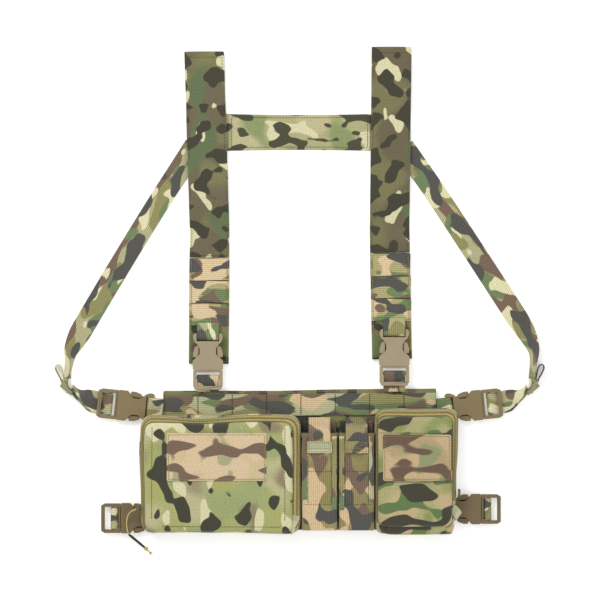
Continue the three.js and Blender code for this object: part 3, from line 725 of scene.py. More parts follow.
# %% A stuffed plate
def cushion(
    name, box, corner, low, high, material, crown=1.0, edge=0.8, seed=0, wrinkles=0.4, power=3.0, **how
):
    """A crowned plate over `box`, in millimetres, with rounded edges and slight wrinkles."""
    loops, heights = [], []
    centre = ((box[0] + box[1]) / 2, (box[2] + box[3]) / 2)
    under = rounded_loop(inset_box(box, edge), max(corner - edge, 0.4))
    for scale in (0.4, 0.8):
        loops.append(
            [(centre[0] + (x - centre[0]) * scale, centre[1] + (y - centre[1]) * scale) for x, y in under]
        )
        heights.append(low)
    for inset, level in (
        (edge, low),
        (edge * 0.3, low + edge * 0.3),
        (0, low + edge),
        (0, high - edge),
        (edge * 0.3, high - edge * 0.3),
        (edge, high),
    ):
        loops.append(rounded_loop(inset_box(box, inset), max(corner - inset, 0.4)))
        heights.append(level)
    top = loops[-1]
    for scale in (0.965, 0.91, 0.83, 0.72, 0.6, 0.47, 0.34, 0.2, 0.07):
        ring = [(centre[0] + (x - centre[0]) * scale, centre[1] + (y - centre[1]) * scale) for x, y in top]
        rise = crown * (1 - scale**power)
        fade = min(1.0, (1 - scale) * 6)
        heights.append([high + rise + fade * wrinkle(x, y, seed, height=wrinkles) for x, y in ring])
        loops.append(ring)
    return loft(name, loops, heights, material, cap_low=True, cap_high=True, **how)


# %% [markdown]
# ## Buckles
# A side-release buckle is three mouldings: a female shell, a male frame with a bar, and two sprung prongs.
# Their shape is the frame's own, so it stays, with its edges rounded the way a mould rounds them, about 0.6
# mm. The prongs bend inwards when the buckle opens, but here they are copied as they are and ride on the
# buckle's clip.

# %% Where each buckle is
joints = {joint["name"]: joint for joint in frame["joints"]}
BUCKLES = {
    "left_shoulder": shoulder_acetal,
    "right_shoulder": shoulder_acetal,
    "left_upper": upper_acetal,
    "right_upper": upper_acetal,
    "left_lower": lower_acetal,
    "right_lower": lower_acetal,
}


def buckle_place(name):
    """A buckle's own axes: the middle of its mouth is the origin, and +Y runs into the female half."""
    along = -Vector(joints[name + "_release"]["axis"]).normalized()
    side = along.cross(Vector((0, 0, 1)))
    points = [v.co for v in frame["nodes"][name + "_female"].data.vertices]
    reach = [p.dot(along) for p in points]
    spread = [p.dot(side) for p in points]
    origin = along * min(reach) + side * (min(spread) + max(spread)) / 2
    origin.z = min(p.z for p in points)
    place = Matrix((side, along, (0, 0, 1))).transposed().to_4x4()
    place.translation = origin
    return place


places = {name: buckle_place(name) for name in BUCKLES}
for name, place in places.items():
    print(name, [round(c / MM, 1) for c in place.translation])


# %% Rounded edges for the mouldings
def soften_edges(piece, width, segments=3):
    weld = piece.modifiers.new("weld", "WELD")
    weld.merge_threshold = 0.01 * MM
    bevel = piece.modifiers.new("bevel", "BEVEL")
    bevel.width = width * MM
    bevel.segments = segments
    bevel.limit_method = "ANGLE"
    bevel.angle_limit = math.radians(35)


def dress(node, material):
    node.data.materials.clear()
    node.data.materials.append(material)


BAR_RADIUS = 1.8
WEB = 1.4
for name, acetal in BUCKLES.items():
    look = "_".join(name.split("_")[1:]) + "_buckle_nylon"
    for half in ("_female", "_male"):
        node = frame["nodes"][name + half]
        dress(node, acetal)
        soften_edges(node, 0.6)
    source = frame["nodes"][name + "_prongs"]
    prongs = bpy.data.objects.new(name + "_prong_pair", source.data.copy())
    bpy.context.scene.collection.objects.link(prongs)
    dress(prongs, acetal)
    soften_edges(prongs, 0.7)
    bake_modifiers(prongs)
    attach(prongs, name + "_clip")
    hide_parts(name + "_prongs")
    place = places[name]
    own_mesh(prongs)
    # The wall behind the prongs, which closes the shell underneath.
    loops = []
    for inset in (0.3, 0.0, 0.0, 0.3):
        outline = rounded_loop(inset_box((-12.6, 12.6, 4.0, 35.9), inset), 2.5, 4, 3)
        loops.append([tuple((place @ (Vector((x, y, 0)) * MM) / MM)[:2]) for x, y in outline])
    base = place.translation.z / MM
    levels = [base + rise for rise in (0.15, 0.45, 1.0, 1.3)]
    loft(name + "_back_wall", loops, levels, acetal, cap_low=True, cap_high=True, body="root", slot=look)

# %% [markdown]
# ## Webbing round the bars
# Each bar holds a loop of 25 mm webbing. A loop is drawn in its buckle's own side view, as a run in, an arc
# that clears the bar, and a run back, and the same sweep then gives it its width.


# %% Paths in a buckle's side view
def arc(bar_y, bar_z, start, end, steps=10, gap=0.3, slack=0.0):
    """Points round a bar. `slack` lets the webbing stand off the bar towards the far side of its slot."""
    radius = BAR_RADIUS + gap + WEB / 2
    angles = [math.radians(start + (end - start) * k / steps) for k in range(steps + 1)]
    return [(bar_y + (radius + slack) * math.cos(a), bar_z + radius * math.sin(a)) for a in angles]


def side_view(name, points):
    """Turns (y, z) or (x, y, z) in a buckle's frame, in millimetres, into points in the scene."""
    full = [(0.0, *p) if len(p) == 2 else p for p in points]
    return [places[name] @ (Vector(p) * MM) for p in full]


def across_of(name):
    return Vector(places[name].col[0][:3])


FEMALE_BAR = (38.2, 5.0)
MALE_BAR = (-8.7, 3.8)
WEBBING = 25 * MM
THICK = WEB * MM
for side, lift in (("left", 24.1), ("right", 28.8)):
    name = side + "_shoulder"
    tail = -lift - 1
    path = [
        (tail, 1.1), (tail + 6, 1.0), (-15, 1.0), *arc(*MALE_BAR, -90, 90), (-14, 4.9), (-17.5, 2.7),
        (tail, 2.6),
    ]
    loop = sweep(
        name + "_tab_webbing",
        smooth_path(side_view(name, path), 1),
        across_of(name),
        WEBBING,
        THICK,
        tail_webbing,
        origin=(0.02 if side == "left" else 0.31, 0.05),
        body=name + "_clip",
        replaces=[name + "_tab_loop"],
        slot="camo_webbing",
    )
    print(loop.name, len(loop.data.vertices), "points")

# %% [markdown]
# ## Shoulder straps
# Each shoulder strap is a padded sleeve of cloth, folded over and brought down behind, with a flat tail
# below it that carries three rows of webbing. The sleeve is swept as one band, so that its print runs over
# the fold, and swells a little in the middle where the foam is. The straps lie almost straight, but not
# quite, as a hand would leave them.

# %% Lean of each strap
LEAN = {
    "left": [(-90, 1.2), (69, 2.3), (275, -4.0)],
    "right": [(-90, 0.8), (69, -2.2), (281, 0.2)],
}
STRAP_X = {"left": -106.0, "right": 105.7}


def strap_x(side, y):
    heights, shifts = zip(*LEAN[side])
    return STRAP_X[side] + float(np.interp(y, heights, shifts))


def edge_rows(side, y0, y1, inset, z, half=23.0):
    """A row of points down each edge of a shoulder strap, in metres."""
    rows = []
    for s in (-1, 1):
        ys = np.linspace(y1, y0, 12)
        rows.append([Vector((strap_x(side, y) + s * (half - inset), y, z)) * MM for y in ys])
    return rows


# %% Sleeves
SLEEVE_THICK = 2.1 * MM
LOW, BACK, FRONT = 1.35, 3.05, 5.45
for side, cloth, top, end in (
    ("left", left_sleeve_cloth, 274.9, 37.4),
    ("right", right_sleeve_cloth, 280.3, 42.8),
):
    back_end = end + 59.5
    fold = top - 2.4
    # Points close to the end keep its corners square when the sleeve is subdivided.
    route = [(end, LOW), (end + 0.25, LOW), (end + 1.0, LOW)]
    route += [(y, LOW) for y in np.linspace(end + 8, back_end - 16, 6)]
    route += [(back_end - 9, 3.2), (back_end - 2, FRONT - 0.3)]
    route += [(y, FRONT) for y in np.linspace(back_end + 6, fold - 4, 22)]
    route += [
        (fold + 1.3 * math.sin(a), 4.25 + 1.2 * math.cos(a)) for a in np.linspace(0.2, math.pi - 0.2, 6)
    ]
    route += [(y, BACK) for y in np.linspace(fold - 4, back_end, 18)]
    path = []
    for i, (y, z) in enumerate(route):
        ripple = 0.35 * math.sin(y / 17.0) + 0.25 * math.sin(y / 7.3 + 2)
        lift = max(0.0, ripple) if z == FRONT else 0.0
        path.append(Vector((strap_x(side, y), y, z + lift)) * MM)
    widths = [(46.0 + 0.7 * noise.noise(Vector((p.y * 25, 3.0, STRAP_X[side])))) * MM for p in path]
    sleeve = sweep(
        side + "_shoulder_pad",
        path,
        (1, 0, 0),
        widths,
        SLEEVE_THICK,
        cloth,
        origin=(0.4 if side == "left" else 0.9, 0.1),
        crown=0.28,
        body="root",
        replaces=[side + "_shoulder_sleeve"],
        slot="camo_fabric",
    )
    refine(sleeve)
    seam_z = FRONT + 1.05
    rows = edge_rows(side, back_end + 8, fold - 4, 2.6, seam_z)
    x = strap_x(side, fold)
    rows.append([Vector((x - 20, top - 7, seam_z + 0.1)) * MM, Vector((x + 20, top - 7, seam_z + 0.1)) * MM])
    low_x = strap_x(side, end)
    rows += edge_rows(side, end + 2, back_end - 20, 2.6, LOW + 1.05)
    rows.append(
        [Vector((low_x - 21, end + 2.2, LOW + 1.1)) * MM, Vector((low_x + 21, end + 2.2, LOW + 1.1)) * MM]
    )
    sew(side + "_sleeve_stitches", rows, "root", dark_thread)

# %% Tails, their three rows of webbing, and the loops that hold the shoulder buckles
for side, start, lift in (("left", 37.1, 24.1), ("right", 42.5, 28.8)):
    ys = np.linspace(start, start - 122, 16)
    path = [Vector((strap_x(side, y), y, 2.3 + 0.25 * math.sin(y / 13.0))) * MM for y in ys]
    tail = sweep(
        side + "_tail_cloth",
        path,
        (1, 0, 0),
        46 * MM,
        4 * MM,
        panel_cloth,
        origin=(0.2 if side == "left" else 0.75, 0.3),
        body="root",
        replaces=[side + "_strap_tail"],
        slot="camo_fabric",
    )
    rows = []
    for k in range(3):
        high, low = start - 1 - 26 * k, start - 26 - 26 * k
        middle = (high + low) / 2
        x = strap_x(side, middle)
        across = np.linspace(-23, 23, 9)
        band = [
            Vector((x + u, middle + 0.3 * math.sin(u / 9 + k), 5.0 + 0.55 * math.cos(u / 23 * 1.4))) * MM
            for u in across
        ]
        sweep(
            f"{side}_tail_row_{k + 1}", band, (0, 1, 0), WEBBING, THICK, tail_webbing,
            origin=(
                0.1 * k + (0.33 if side == "left" else 0.02), 0.07 * k + (0.0 if side == "left" else 0.4)
            ),
            body="root", slot="camo_webbing",
        )
        for s in (-1, 1):
            rows.append([Vector((x + s * 20.6, y, 5.95)) * MM for y in (low + 1, high - 1)])
    rows += edge_rows(side, start - 121, start - 79, 2.4, 4.35)
    x = strap_x(side, start - 120)
    rows.append([Vector((x - 20, start - 119.5, 4.4)) * MM, Vector((x + 20, start - 119.5, 4.4)) * MM])
    sew(side + "_tail_stitches", rows, "root", pitch=2.9)
    name = side + "_shoulder"
    seam = start - 75 - (-116 + lift)
    loop_path = [
        (seam, -2.4), (seam - 6, -2.3), *arc(*FEMALE_BAR, -110, -270, 12, slack=1.0), (seam - 7, 4.6),
        (seam - 1, -0.8), (seam, -0.9),
    ]
    sweep(
        side + "_buckle_webbing",
        smooth_path(side_view(name, loop_path), 1),
        across_of(name),
        WEBBING,
        THICK,
        strap_webbing,
        origin=(0.52 if side == "left" else 0.12, 0.6),
        body="root",
        slot="camo_webbing",
    )

# %% Cross strap
cross = cushion(
    "cross_strap_pad",
    (-101.5, 101.2, 159.8, 203.2),
    11,
    0.3,
    1.7,
    cross_cloth,
    crown=0.15,
    edge=0.5,
    wrinkles=0.1,
    body="root",
    replaces=["cross_strap"],
    slot="camo_fabric",
)
between = cushion(
    "cross_strap_face", (-82, 81.4, 160.2, 202.8), 3, 1.2, 3.0, cross_cloth,
    crown=0.6, edge=0.9, seed=3, wrinkles=0.5, body="root", slot="camo_fabric",
)
for piece in (cross, between):
    for vertex in piece.data.vertices:
        # The long edges pull in a little between the two straps.
        sag = 1.6 * MM * math.cos(vertex.co.x / (205 * MM) * math.pi)
        vertex.co.y -= sag * (vertex.co.y - 181.5 * MM) / (22 * MM)
refine(between)
rows = []
for s in (-1, 1):
    rows.append(
        [
            Vector((x, 181.5 + s * (18.4 - 1.6 * math.cos(x / 205 * math.pi)), 3.35)) * MM
            for x in np.linspace(-79, 79, 20)
        ]
    )
for x in (-78.5, 78):
    rows.append([Vector((x, 165, 3.3)) * MM, Vector((x, 198, 3.3)) * MM])
sew("cross_strap_stitches", rows, "root", dark_thread)
print("shoulder straps done")

# %% [markdown]
# ## Side straps, their buckles' webbing and the keepers
# One long strap runs from each shoulder to its upper side buckle. Near the buckle it turns on edge, is
# gathered in an elastic keeper with the slack folded up beside it, and fans out flat again into the male
# half. The strap joins two bodies, but here it is one fixed piece that rides on neither.


# %% Side straps
def turn(side_vector, degrees):
    """The across direction of a strap that has been rolled towards standing on edge."""
    a = math.radians(degrees)
    return (side_vector * math.cos(a) + Vector((0, 0, 1)) * math.sin(a)).normalized()


KEEPERS = {"left": Vector((-268.7, -110.9, 7.8)), "right": Vector((268.7, -110.9, 7.8))}
STRAP_SEAM = {"left": (-129.0, 152.9), "right": (128.7, 151.5)}
STRAP_VIA = {"left": Vector((-245.6, -34.5, 1.0)), "right": Vector((254.4, -34.5, 1.0))}
ELBOWS = {"left": Vector((-263.9, -67.4, 1.0)), "right": Vector((270.5, -67.4, 1.0))}
TWISTS = {"left": 62.0, "right": 80.0}
for side, outward in (("left", -1), ("right", 1)):
    keeper = KEEPERS[side]
    start = Vector((*STRAP_SEAM[side], 1.0))
    elbow = ELBOWS[side]
    end = Vector((keeper.x - outward * 1.5, keeper.y + 8.8, 1.0))
    via = STRAP_VIA[side]
    along = (via - start).normalized()
    across = Vector((along.y, -along.x, 0)) * -outward
    line = smooth_path([start - along * 16, start, via, elbow, elbow.lerp(end, 0.4), end], 3)
    line = resample(line, 4.0)
    length = 4.0 * (len(line) - 1)
    path, sides, widths = [], [], []
    for i, flat in enumerate(line):
        d = 4.0 * i
        near = ease(d, length - TWISTS[side], length - 10)
        width = 25.0 - 9.5 * near
        roll = 58.0 * near
        sway = 0.9 * math.sin(d / 61.0 + (1 if outward > 0 else 0)) * min(1.0, d / 60) * (1 - near)
        rise = 0.25 * max(0.0, math.sin(d / 23.0)) * min(1.0, max(0.0, (d - 20) / 40))
        flat = flat + across * sway
        flat.z = 1.0 + rise + (width / 2) * math.sin(math.radians(roll))
        path.append(flat * MM)
        sides.append(turn(across, roll))
        widths.append(width * MM)
    strap = sweep(
        side + "_side_strap",
        path,
        sides,
        widths,
        THICK,
        strap_webbing,
        origin=(0.03 if side == "left" else 0.34, 0.0),
        replaces=[side + "_side_strap_upper", side + "_side_strap_lower"],
        slot="camo_webbing",
    )
    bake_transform(strap)

# %% Stubs behind the side buckles
STUBS = {"left_upper": 53.3, "right_upper": 53.3, "left_lower": 48.6, "right_lower": 51.5}
for name, edge in STUBS.items():
    base = places[name].translation.z / MM
    low, high = 2.35 - base, 4.3 - base
    path = [
        (edge + 50, low), (edge + 25, low), (edge - 2, low), *arc(*FEMALE_BAR, -80, -270, 12, slack=1.0),
        (edge - 3.5, high + 0.9), (edge - 0.6, high),
    ]
    sweep(
        name + "_stub_webbing",
        smooth_path(side_view(name, path), 1),
        across_of(name),
        WEBBING,
        1.25 * MM,
        strap_webbing,
        origin=(0.1 * len(name), 0.5),
        body="root",
        replaces=[name + "_stub"],
        slot="camo_webbing",
    )

# %% The fan of webbing at each upper buckle, the slack and the keeper
KEEPER_HALF, KEEPER_RISE = 8.2, 7.2

for side, outward in (("left", -1), ("right", 1)):
    name = side + "_upper"
    keeper = KEEPERS[side]
    inverse = places[name].inverted()
    mouth = [
        inverse @ (Vector((keeper.x - outward * 7.5, keeper.y + dy, dz)) * MM) / MM
        for dy, dz in ((-3.5, 6.4), (-0.5, 9.0))
    ]
    entry, leave = [(m.x, m.y, m.z) for m in mouth]
    low_run = [
        entry, (entry[0] * 0.62, entry[1] * 0.8 - 5, 3.4), (entry[0] * 0.2, -33, 1.7), (0, -27, 1.3),
        (0, -20, 1.1), (0, -13.5, 1.1),
    ]
    high_run = [
        (0, -14.5, 4.7), (0, -18, 2.9), (0, -24, 2.7), (leave[0] * 0.15, -31, 3.2),
        (leave[0] * 0.55, leave[1] * 0.75 - 6, 5.6), leave,
    ]
    local = low_run + [(0.0, y, z) for y, z in arc(*MALE_BAR, -90, 90)] + high_run
    path = resample(smooth_path(side_view(name, local), 2), 1.6 * MM)
    flat_across = across_of(name)
    sides, widths = [], []
    for i, p in enumerate(path):
        out = -(inverse @ p).y / MM
        near = ease(out, 27, 53)
        top_run = i > len(path) / 2
        sides.append(turn(flat_across * (1 if outward < 0 else -1), (64 if top_run else 50) * near))
        widths.append((25 - (13.5 if top_run else 11.5) * near) * MM)
        # A strap on edge stands on its lower edge, so it needs half its height under its middle.
        p.z = max(p.z, widths[-1] / 2 * abs(sides[-1].z) + 1.5 * MM)
    sweep(
        side + "_adjuster_strap",
        path,
        sides,
        widths,
        1.2 * MM,
        strap_webbing,
        origin=(0.23 if side == "left" else 0.63, 0.2),
        body=name + "_clip",
        replaces=[side + "_adjuster_webbing"],
        slot="camo_webbing",
    )
    # Slack: a folded loop of webbing on edge, a teardrop seen from above.
    tip = Vector((keeper.x + outward * 10.6, keeper.y + 25.2, 7.2))
    foot = Vector((keeper.x + outward * 2.0, keeper.y + 2.0, 7.2))
    lean = (tip - foot).normalized()
    beside = Vector((lean.y, -lean.x, 0))
    drop = [
        (-6, 1.0), (0, 1.1), (8, 1.5), (15, 2.9), (20.5, 3.4), (24, 2.1), (25, 0.0), (24, -2.1),
        (20.5, -3.4), (15, -2.9), (8, -1.5), (0, -1.1), (-6, -1.0),
    ]
    path = resample(smooth_path([(foot + lean * a + beside * b) * MM for a, b in drop], 2), 1.5 * MM)
    sweep(
        side + "_slack_loop",
        path,
        (0, 0, 1),
        12.4 * MM,
        1.3 * MM,
        strap_webbing,
        origin=(0.7, 0.3 if side == "left" else 0.8),
        body=name + "_clip",
        replaces=[side + "_slack_keeper"],
        slot="camo_webbing",
    )
    # The strap itself, on edge, turning the corner inside the keeper.
    for k, (offset, tall) in enumerate(((-2.6, 12.0), (0.2, 13.2), (3.0, 11.0))):
        corner = [
            (-1.5 + offset, 9.5), (-1.0 + offset, 3.5), (-2.0 + offset * 0.9, -1.0 - offset * 0.3),
            (-5.0, -3.6 - offset * 0.8), (-9.5, -3.4 - offset * 0.9),
        ]
        path = [Vector((keeper.x + outward * a, keeper.y + b, 7.4)) * MM for a, b in corner]
        sweep(
            f"{side}_gathered_strap_{k + 1}",
            resample(smooth_path(path, 2), 1.2 * MM),
            (0, 0, 1),
            tall * MM,
            1.4 * MM,
            strap_webbing,
            origin=(0.1 * k, 0.9),
            body=name + "_clip",
            slot="camo_webbing",
        )
    # Two turns of elastic, crossed over the bundle.
    for k, angle in enumerate((38, 62)):
        a = math.radians(angle)
        long_way = Vector((outward * math.cos(a), math.sin(a), 0))
        short_way = Vector((0, 0, 1))
        middle = keeper + Vector((outward * (-0.5 + 1.2 * k), -3.2 + 3.6 * k, 0.0))
        ring = []
        for t in np.linspace(-math.pi / 2, 1.5 * math.pi, 33):
            u = KEEPER_HALF * math.copysign(abs(math.cos(t)) ** 0.75, math.cos(t))
            v = KEEPER_RISE * math.copysign(abs(math.sin(t)) ** 0.6, math.sin(t))
            ring.append((middle + long_way * u + short_way * v) * MM)
        band_across = [Vector((-long_way.y, long_way.x, 0.0))] * len(ring)
        sweep(
            f"{side}_elastic_band_{k + 1}",
            ring,
            band_across,
            4.6 * MM,
            1.1 * MM,
            elastic_web,
            origin=(0.2, 0.1 * k),
            body=name + "_clip",
            slot="elastic",
        )
print("side straps done")

# %% [markdown]
# ## Waist strap
# One strap joins the two lower buckles behind the panel. Each half is one fixed piece between the rig and
# its own buckle, and the two halves overlap under the middle of the panel.

# %% Waist strap in two halves
WAIST = {"left": ("left_lower", -262.5, -1), "right": ("right_lower", -252.0, 1)}
mid_y = -257.25
for side, (name, mouth_y, outward) in WAIST.items():
    mouth_x = places[name].translation.x / MM
    base = places[name].translation.z / MM
    lap = 0.75 if side == "left" else 2.2
    path = [
        Vector((outward * -18, mid_y, lap)), Vector((outward * 10, mid_y, lap)),
        Vector((outward * 26, mid_y, 0.75)),
    ]
    path += [
        Vector((x, float(np.interp(abs(x), (26, abs(mouth_x) - 8), (mid_y, mouth_y))), 0.75))
        for x in np.linspace(outward * 40, mouth_x - outward * 10, 20)
    ]
    loop = [
        (5, 0.75 - base), (-1, 0.75 - base), (-4.5, 0.75 - base), *arc(*MALE_BAR, -95, -268, 12),
        (-5.5, 6.1), (-3.9, 4.4),
    ]
    path = [p * MM for p in path] + side_view(name, loop)
    strap = sweep(
        side + "_waist_strap",
        smooth_path(path, 1),
        (0, 1, 0),
        WEBBING,
        1.3 * MM,
        strap_webbing,
        origin=(0.15 if side == "left" else 0.55, 0.0),
        replaces=[side + "_waist_loop"] + (["waist_strap"] if side == "left" else []),
        slot="camo_webbing",
    )
    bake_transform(strap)
print("waist strap done")

# %% [markdown]
# ## Panel
# The panel is two layers of cloth with a bound top edge. Attachment webbing is sewn down across it every
# 39.5 mm with a bar of dense stitches, and between the bars it stands up a little, because the pouches'
# straps pass under it.

# %% Panel, hem and spacer-mesh padding
PANEL = (-157.0, 157.0, -276.0, -116.0)
PANEL_LEVELS = (3.3, 5.2)
cushion(
    "chest_panel", PANEL, 2, *PANEL_LEVELS, panel_cloth,
    crown=0.0, edge=0.7, wrinkles=0.05, body="root", replaces=["front_panel"], slot="camo_fabric",
)


def top_edge(x):
    """The panel's top edge rises towards the right, and is not quite straight."""
    return -115.4 + 2.4 * x / 157 + 0.35 * math.sin(x / 31.0)


hem_path = [
    Vector((x, top_edge(x) - 3.6, 4.6 + 0.12 * math.sin(x / 9.0))) * MM for x in np.linspace(-157, 157, 60)
]
sweep(
    "top_hem", hem_path, (0, 1, 0), 7.2 * MM, 2.6 * MM, panel_cloth,
    origin=(0.9, 0.2), crown=0.3, body="root", slot="camo_fabric",
)
hem_seam = [Vector((p.x / MM, top_edge(p.x / MM) - 2.0, 6.15)) * MM for p in hem_path]
sew("top_hem_stitches", [hem_seam], "root")
lower_hem = [Vector((x, -274.6, 6.0)) * MM for x in np.linspace(-156, 156, 50)]
sweep(
    "lower_hem", lower_hem, (0, 1, 0), 2.6 * MM, 1.6 * MM, panel_cloth,
    origin=(1.2, 0.2), crown=0.2, body="root", slot="camo_fabric",
)

pad_box = (-140.0, 140.0, -236.0, -156.0)
pad = cushion(
    "back_spacer_mesh", pad_box, 8, 0.0, 2.9, mesh_lining,
    crown=0.0, edge=1.1, wrinkles=0.0, body="root", replaces=["back_padding"], slot="mesh_lining",
)
pad_edge = [Vector((x, y, 0.2)) * MM for x, y in rounded_loop(inset_box(pad_box, 3.5), 5)]
rows = [pad_edge + pad_edge[:1]]
for x in (-84, -28, 28, 84):
    rows.append([Vector((x, -232, 0.2)) * MM, Vector((x, -160, 0.2)) * MM])
sew("padding_stitches", rows, "root", dark_thread, normal=(0, 0, -1), size=(0.7, 2.5, 0.3))

# %% Attachment webbing
ROW_BARS = [-156.6 + 39.5 * k for k in range(9)]
for name, low_y, origin in (("molle_row_upper", -144.0, (0.0, 0.0)), ("molle_row_lower", -194.0, (0.3, 0.5))):
    path = []
    for x in np.linspace(-156.8, 156.8, 118):
        nearest = min(abs(x - bar) for bar in ROW_BARS)
        puff = min(1.0, nearest / 9) ** 0.7
        slope = 1.2 * x / 157 - 0.6
        path.append(Vector((x, low_y + 12.5 + slope + 0.25 * math.sin(x / 21), 6.3 + 0.45 * puff)) * MM)
    sweep(
        "attachment_" + name[6:],
        path,
        (0, 1, 0),
        WEBBING,
        1.35 * MM,
        row_webbing,
        origin=origin,
        body="root",
        replaces=[name],
        slot="camo_webbing",
    )
    bars = []
    for bar in ROW_BARS[:-1]:
        zigzag = []
        for k, y in enumerate(np.linspace(low_y + 0.8, low_y + 24.2, 24)):
            zigzag.append(Vector((min(max(bar, -155.4), 155.4) + (0.55 if k % 2 else -0.55), y, 7.15)) * MM)
        bars.append(zigzag)
    sew(name[6:] + "_bartacks", bars, "root", dark_thread, pitch=1.5, size=(0.6, 1.7, 0.5))
print("panel done")

# %% [markdown]
# ## Zipped pouches
# A zipped pouch is a soft box: a body, a band of zipper tape that slopes in from the body's rim to the
# cover's rim, and a stuffed cover with a loop patch sewn on it. Loops of points are stacked for each, so
# the corners stay round and the walls can bulge. The body and the cover are shells with cloth thickness,
# because the pouch really is hollow.


# %% Parts of a pouch
def shell_of(piece, thickness=1.2):
    solid = piece.modifiers.new("thickness", "SOLIDIFY")
    solid.thickness = thickness * MM
    solid.offset = -1
    return piece


def side_bands(box, corner, bands):
    """A loop inset by another amount on each side: bands are left, right, bottom and top, in millimetres."""
    left, right, bottom, top = bands
    inner = (box[0] + left, box[1] - right, box[2] + bottom, box[3] - top)
    return rounded_loop(inner, corner)


def blend_loops(a, b, share):
    return [(ax + (bx - ax) * share, ay + (by - ay) * share) for (ax, ay), (bx, by) in zip(a, b)]


def wander(loop, centre, seed, amount):
    """Moves a loop in and out a little, so that a seam isn't ruled."""
    moved = []
    for x, y in loop:
        out = Vector((x - centre[0], y - centre[1])).normalized()
        shift = wrinkle(x, y, seed, 34.0, amount)
        moved.append((x + out.x * shift, y + out.y * shift))
    return moved


POUCHES = {
    "left": dict(
        box=(-183.0, 1.0, -278.0, -143.8),
        corner=14,
        foot=(-156.5, 1.0, -278.0, -143.8),
        bands=(5.0, 9.0, 1.2, 8.0),
        cloth=left_pouch_cloth,
        patch=(-152.2, -38.2, -218.7, -163.7),
        zipped=(4, 63),
        seams=[((-169, -157), (-169.6, -262)), ((-17, -158), (-17, -264)), ((-158, -270.6), (-22, -271.4))],
    ),
    "right": dict(
        box=(87.0, 181.0, -280.3, -136.7),
        corner=11,
        foot=(87.0, 156.5, -280.3, -136.7),
        bands=(3.0, 6.5, 9.5, 8.5),
        cloth=right_pouch_cloth,
        patch=(95.3, 173.3, -218.5, -165.5),
        zipped=(9, 60),
        seams=[((91.5, -163.6), (173.0, -164.0)), ((91.5, -220.2), (173.0, -220.0))],
    ),
}


# %% How the stuffed pouches have settled
def settle(side, loop):
    """The left pouch's top edge dips and its right foot hangs; the right pouch narrows towards its foot."""
    moved = []
    for x, y in loop:
        if side == "left":
            dip = 4.3 * math.exp(-(((x + 116) / 27) ** 2)) - 0.8 * math.exp(-(((x + 45) / 30) ** 2))
            y -= dip * max(0.0, min(1.0, (y + 158.3) / 14.5))
            y -= 1.5 * ease(x, -80, -20) * ease(-y, 262, 276)
            x += (0.9 + 0.8 * math.sin((y + 160) / 26)) * ease(-x, 172, 183)
        else:
            near_side = ease(x, 174, 180.5)
            x -= 1.6 * ease(-y, 182, 216) * near_side + 2.4 * ease(-y, 238, 256) * near_side
            y += 1.6 * ease(-x, -108, -90) * ease(-y, 266, 279)
        moved.append((x, y))
    return moved


def laid_on(piece, a, b, lift=0.12, step=3.0):
    """Points along a line in plan, in millimetres, laid on top of a piece."""
    tree = BVHTree.FromObject(piece, bpy.context.evaluated_depsgraph_get())
    a, b = Vector(a), Vector(b)
    row = []
    for f in np.linspace(0, 1, max(2, round((b - a).length / step))):
        x, y = a.lerp(b, f)
        hit = tree.ray_cast(Vector((x * MM, y * MM, 0.1)), Vector((0, 0, -1)))[0]
        if hit is not None:
            row.append(hit + Vector((0, 0, lift * MM)))
    return row


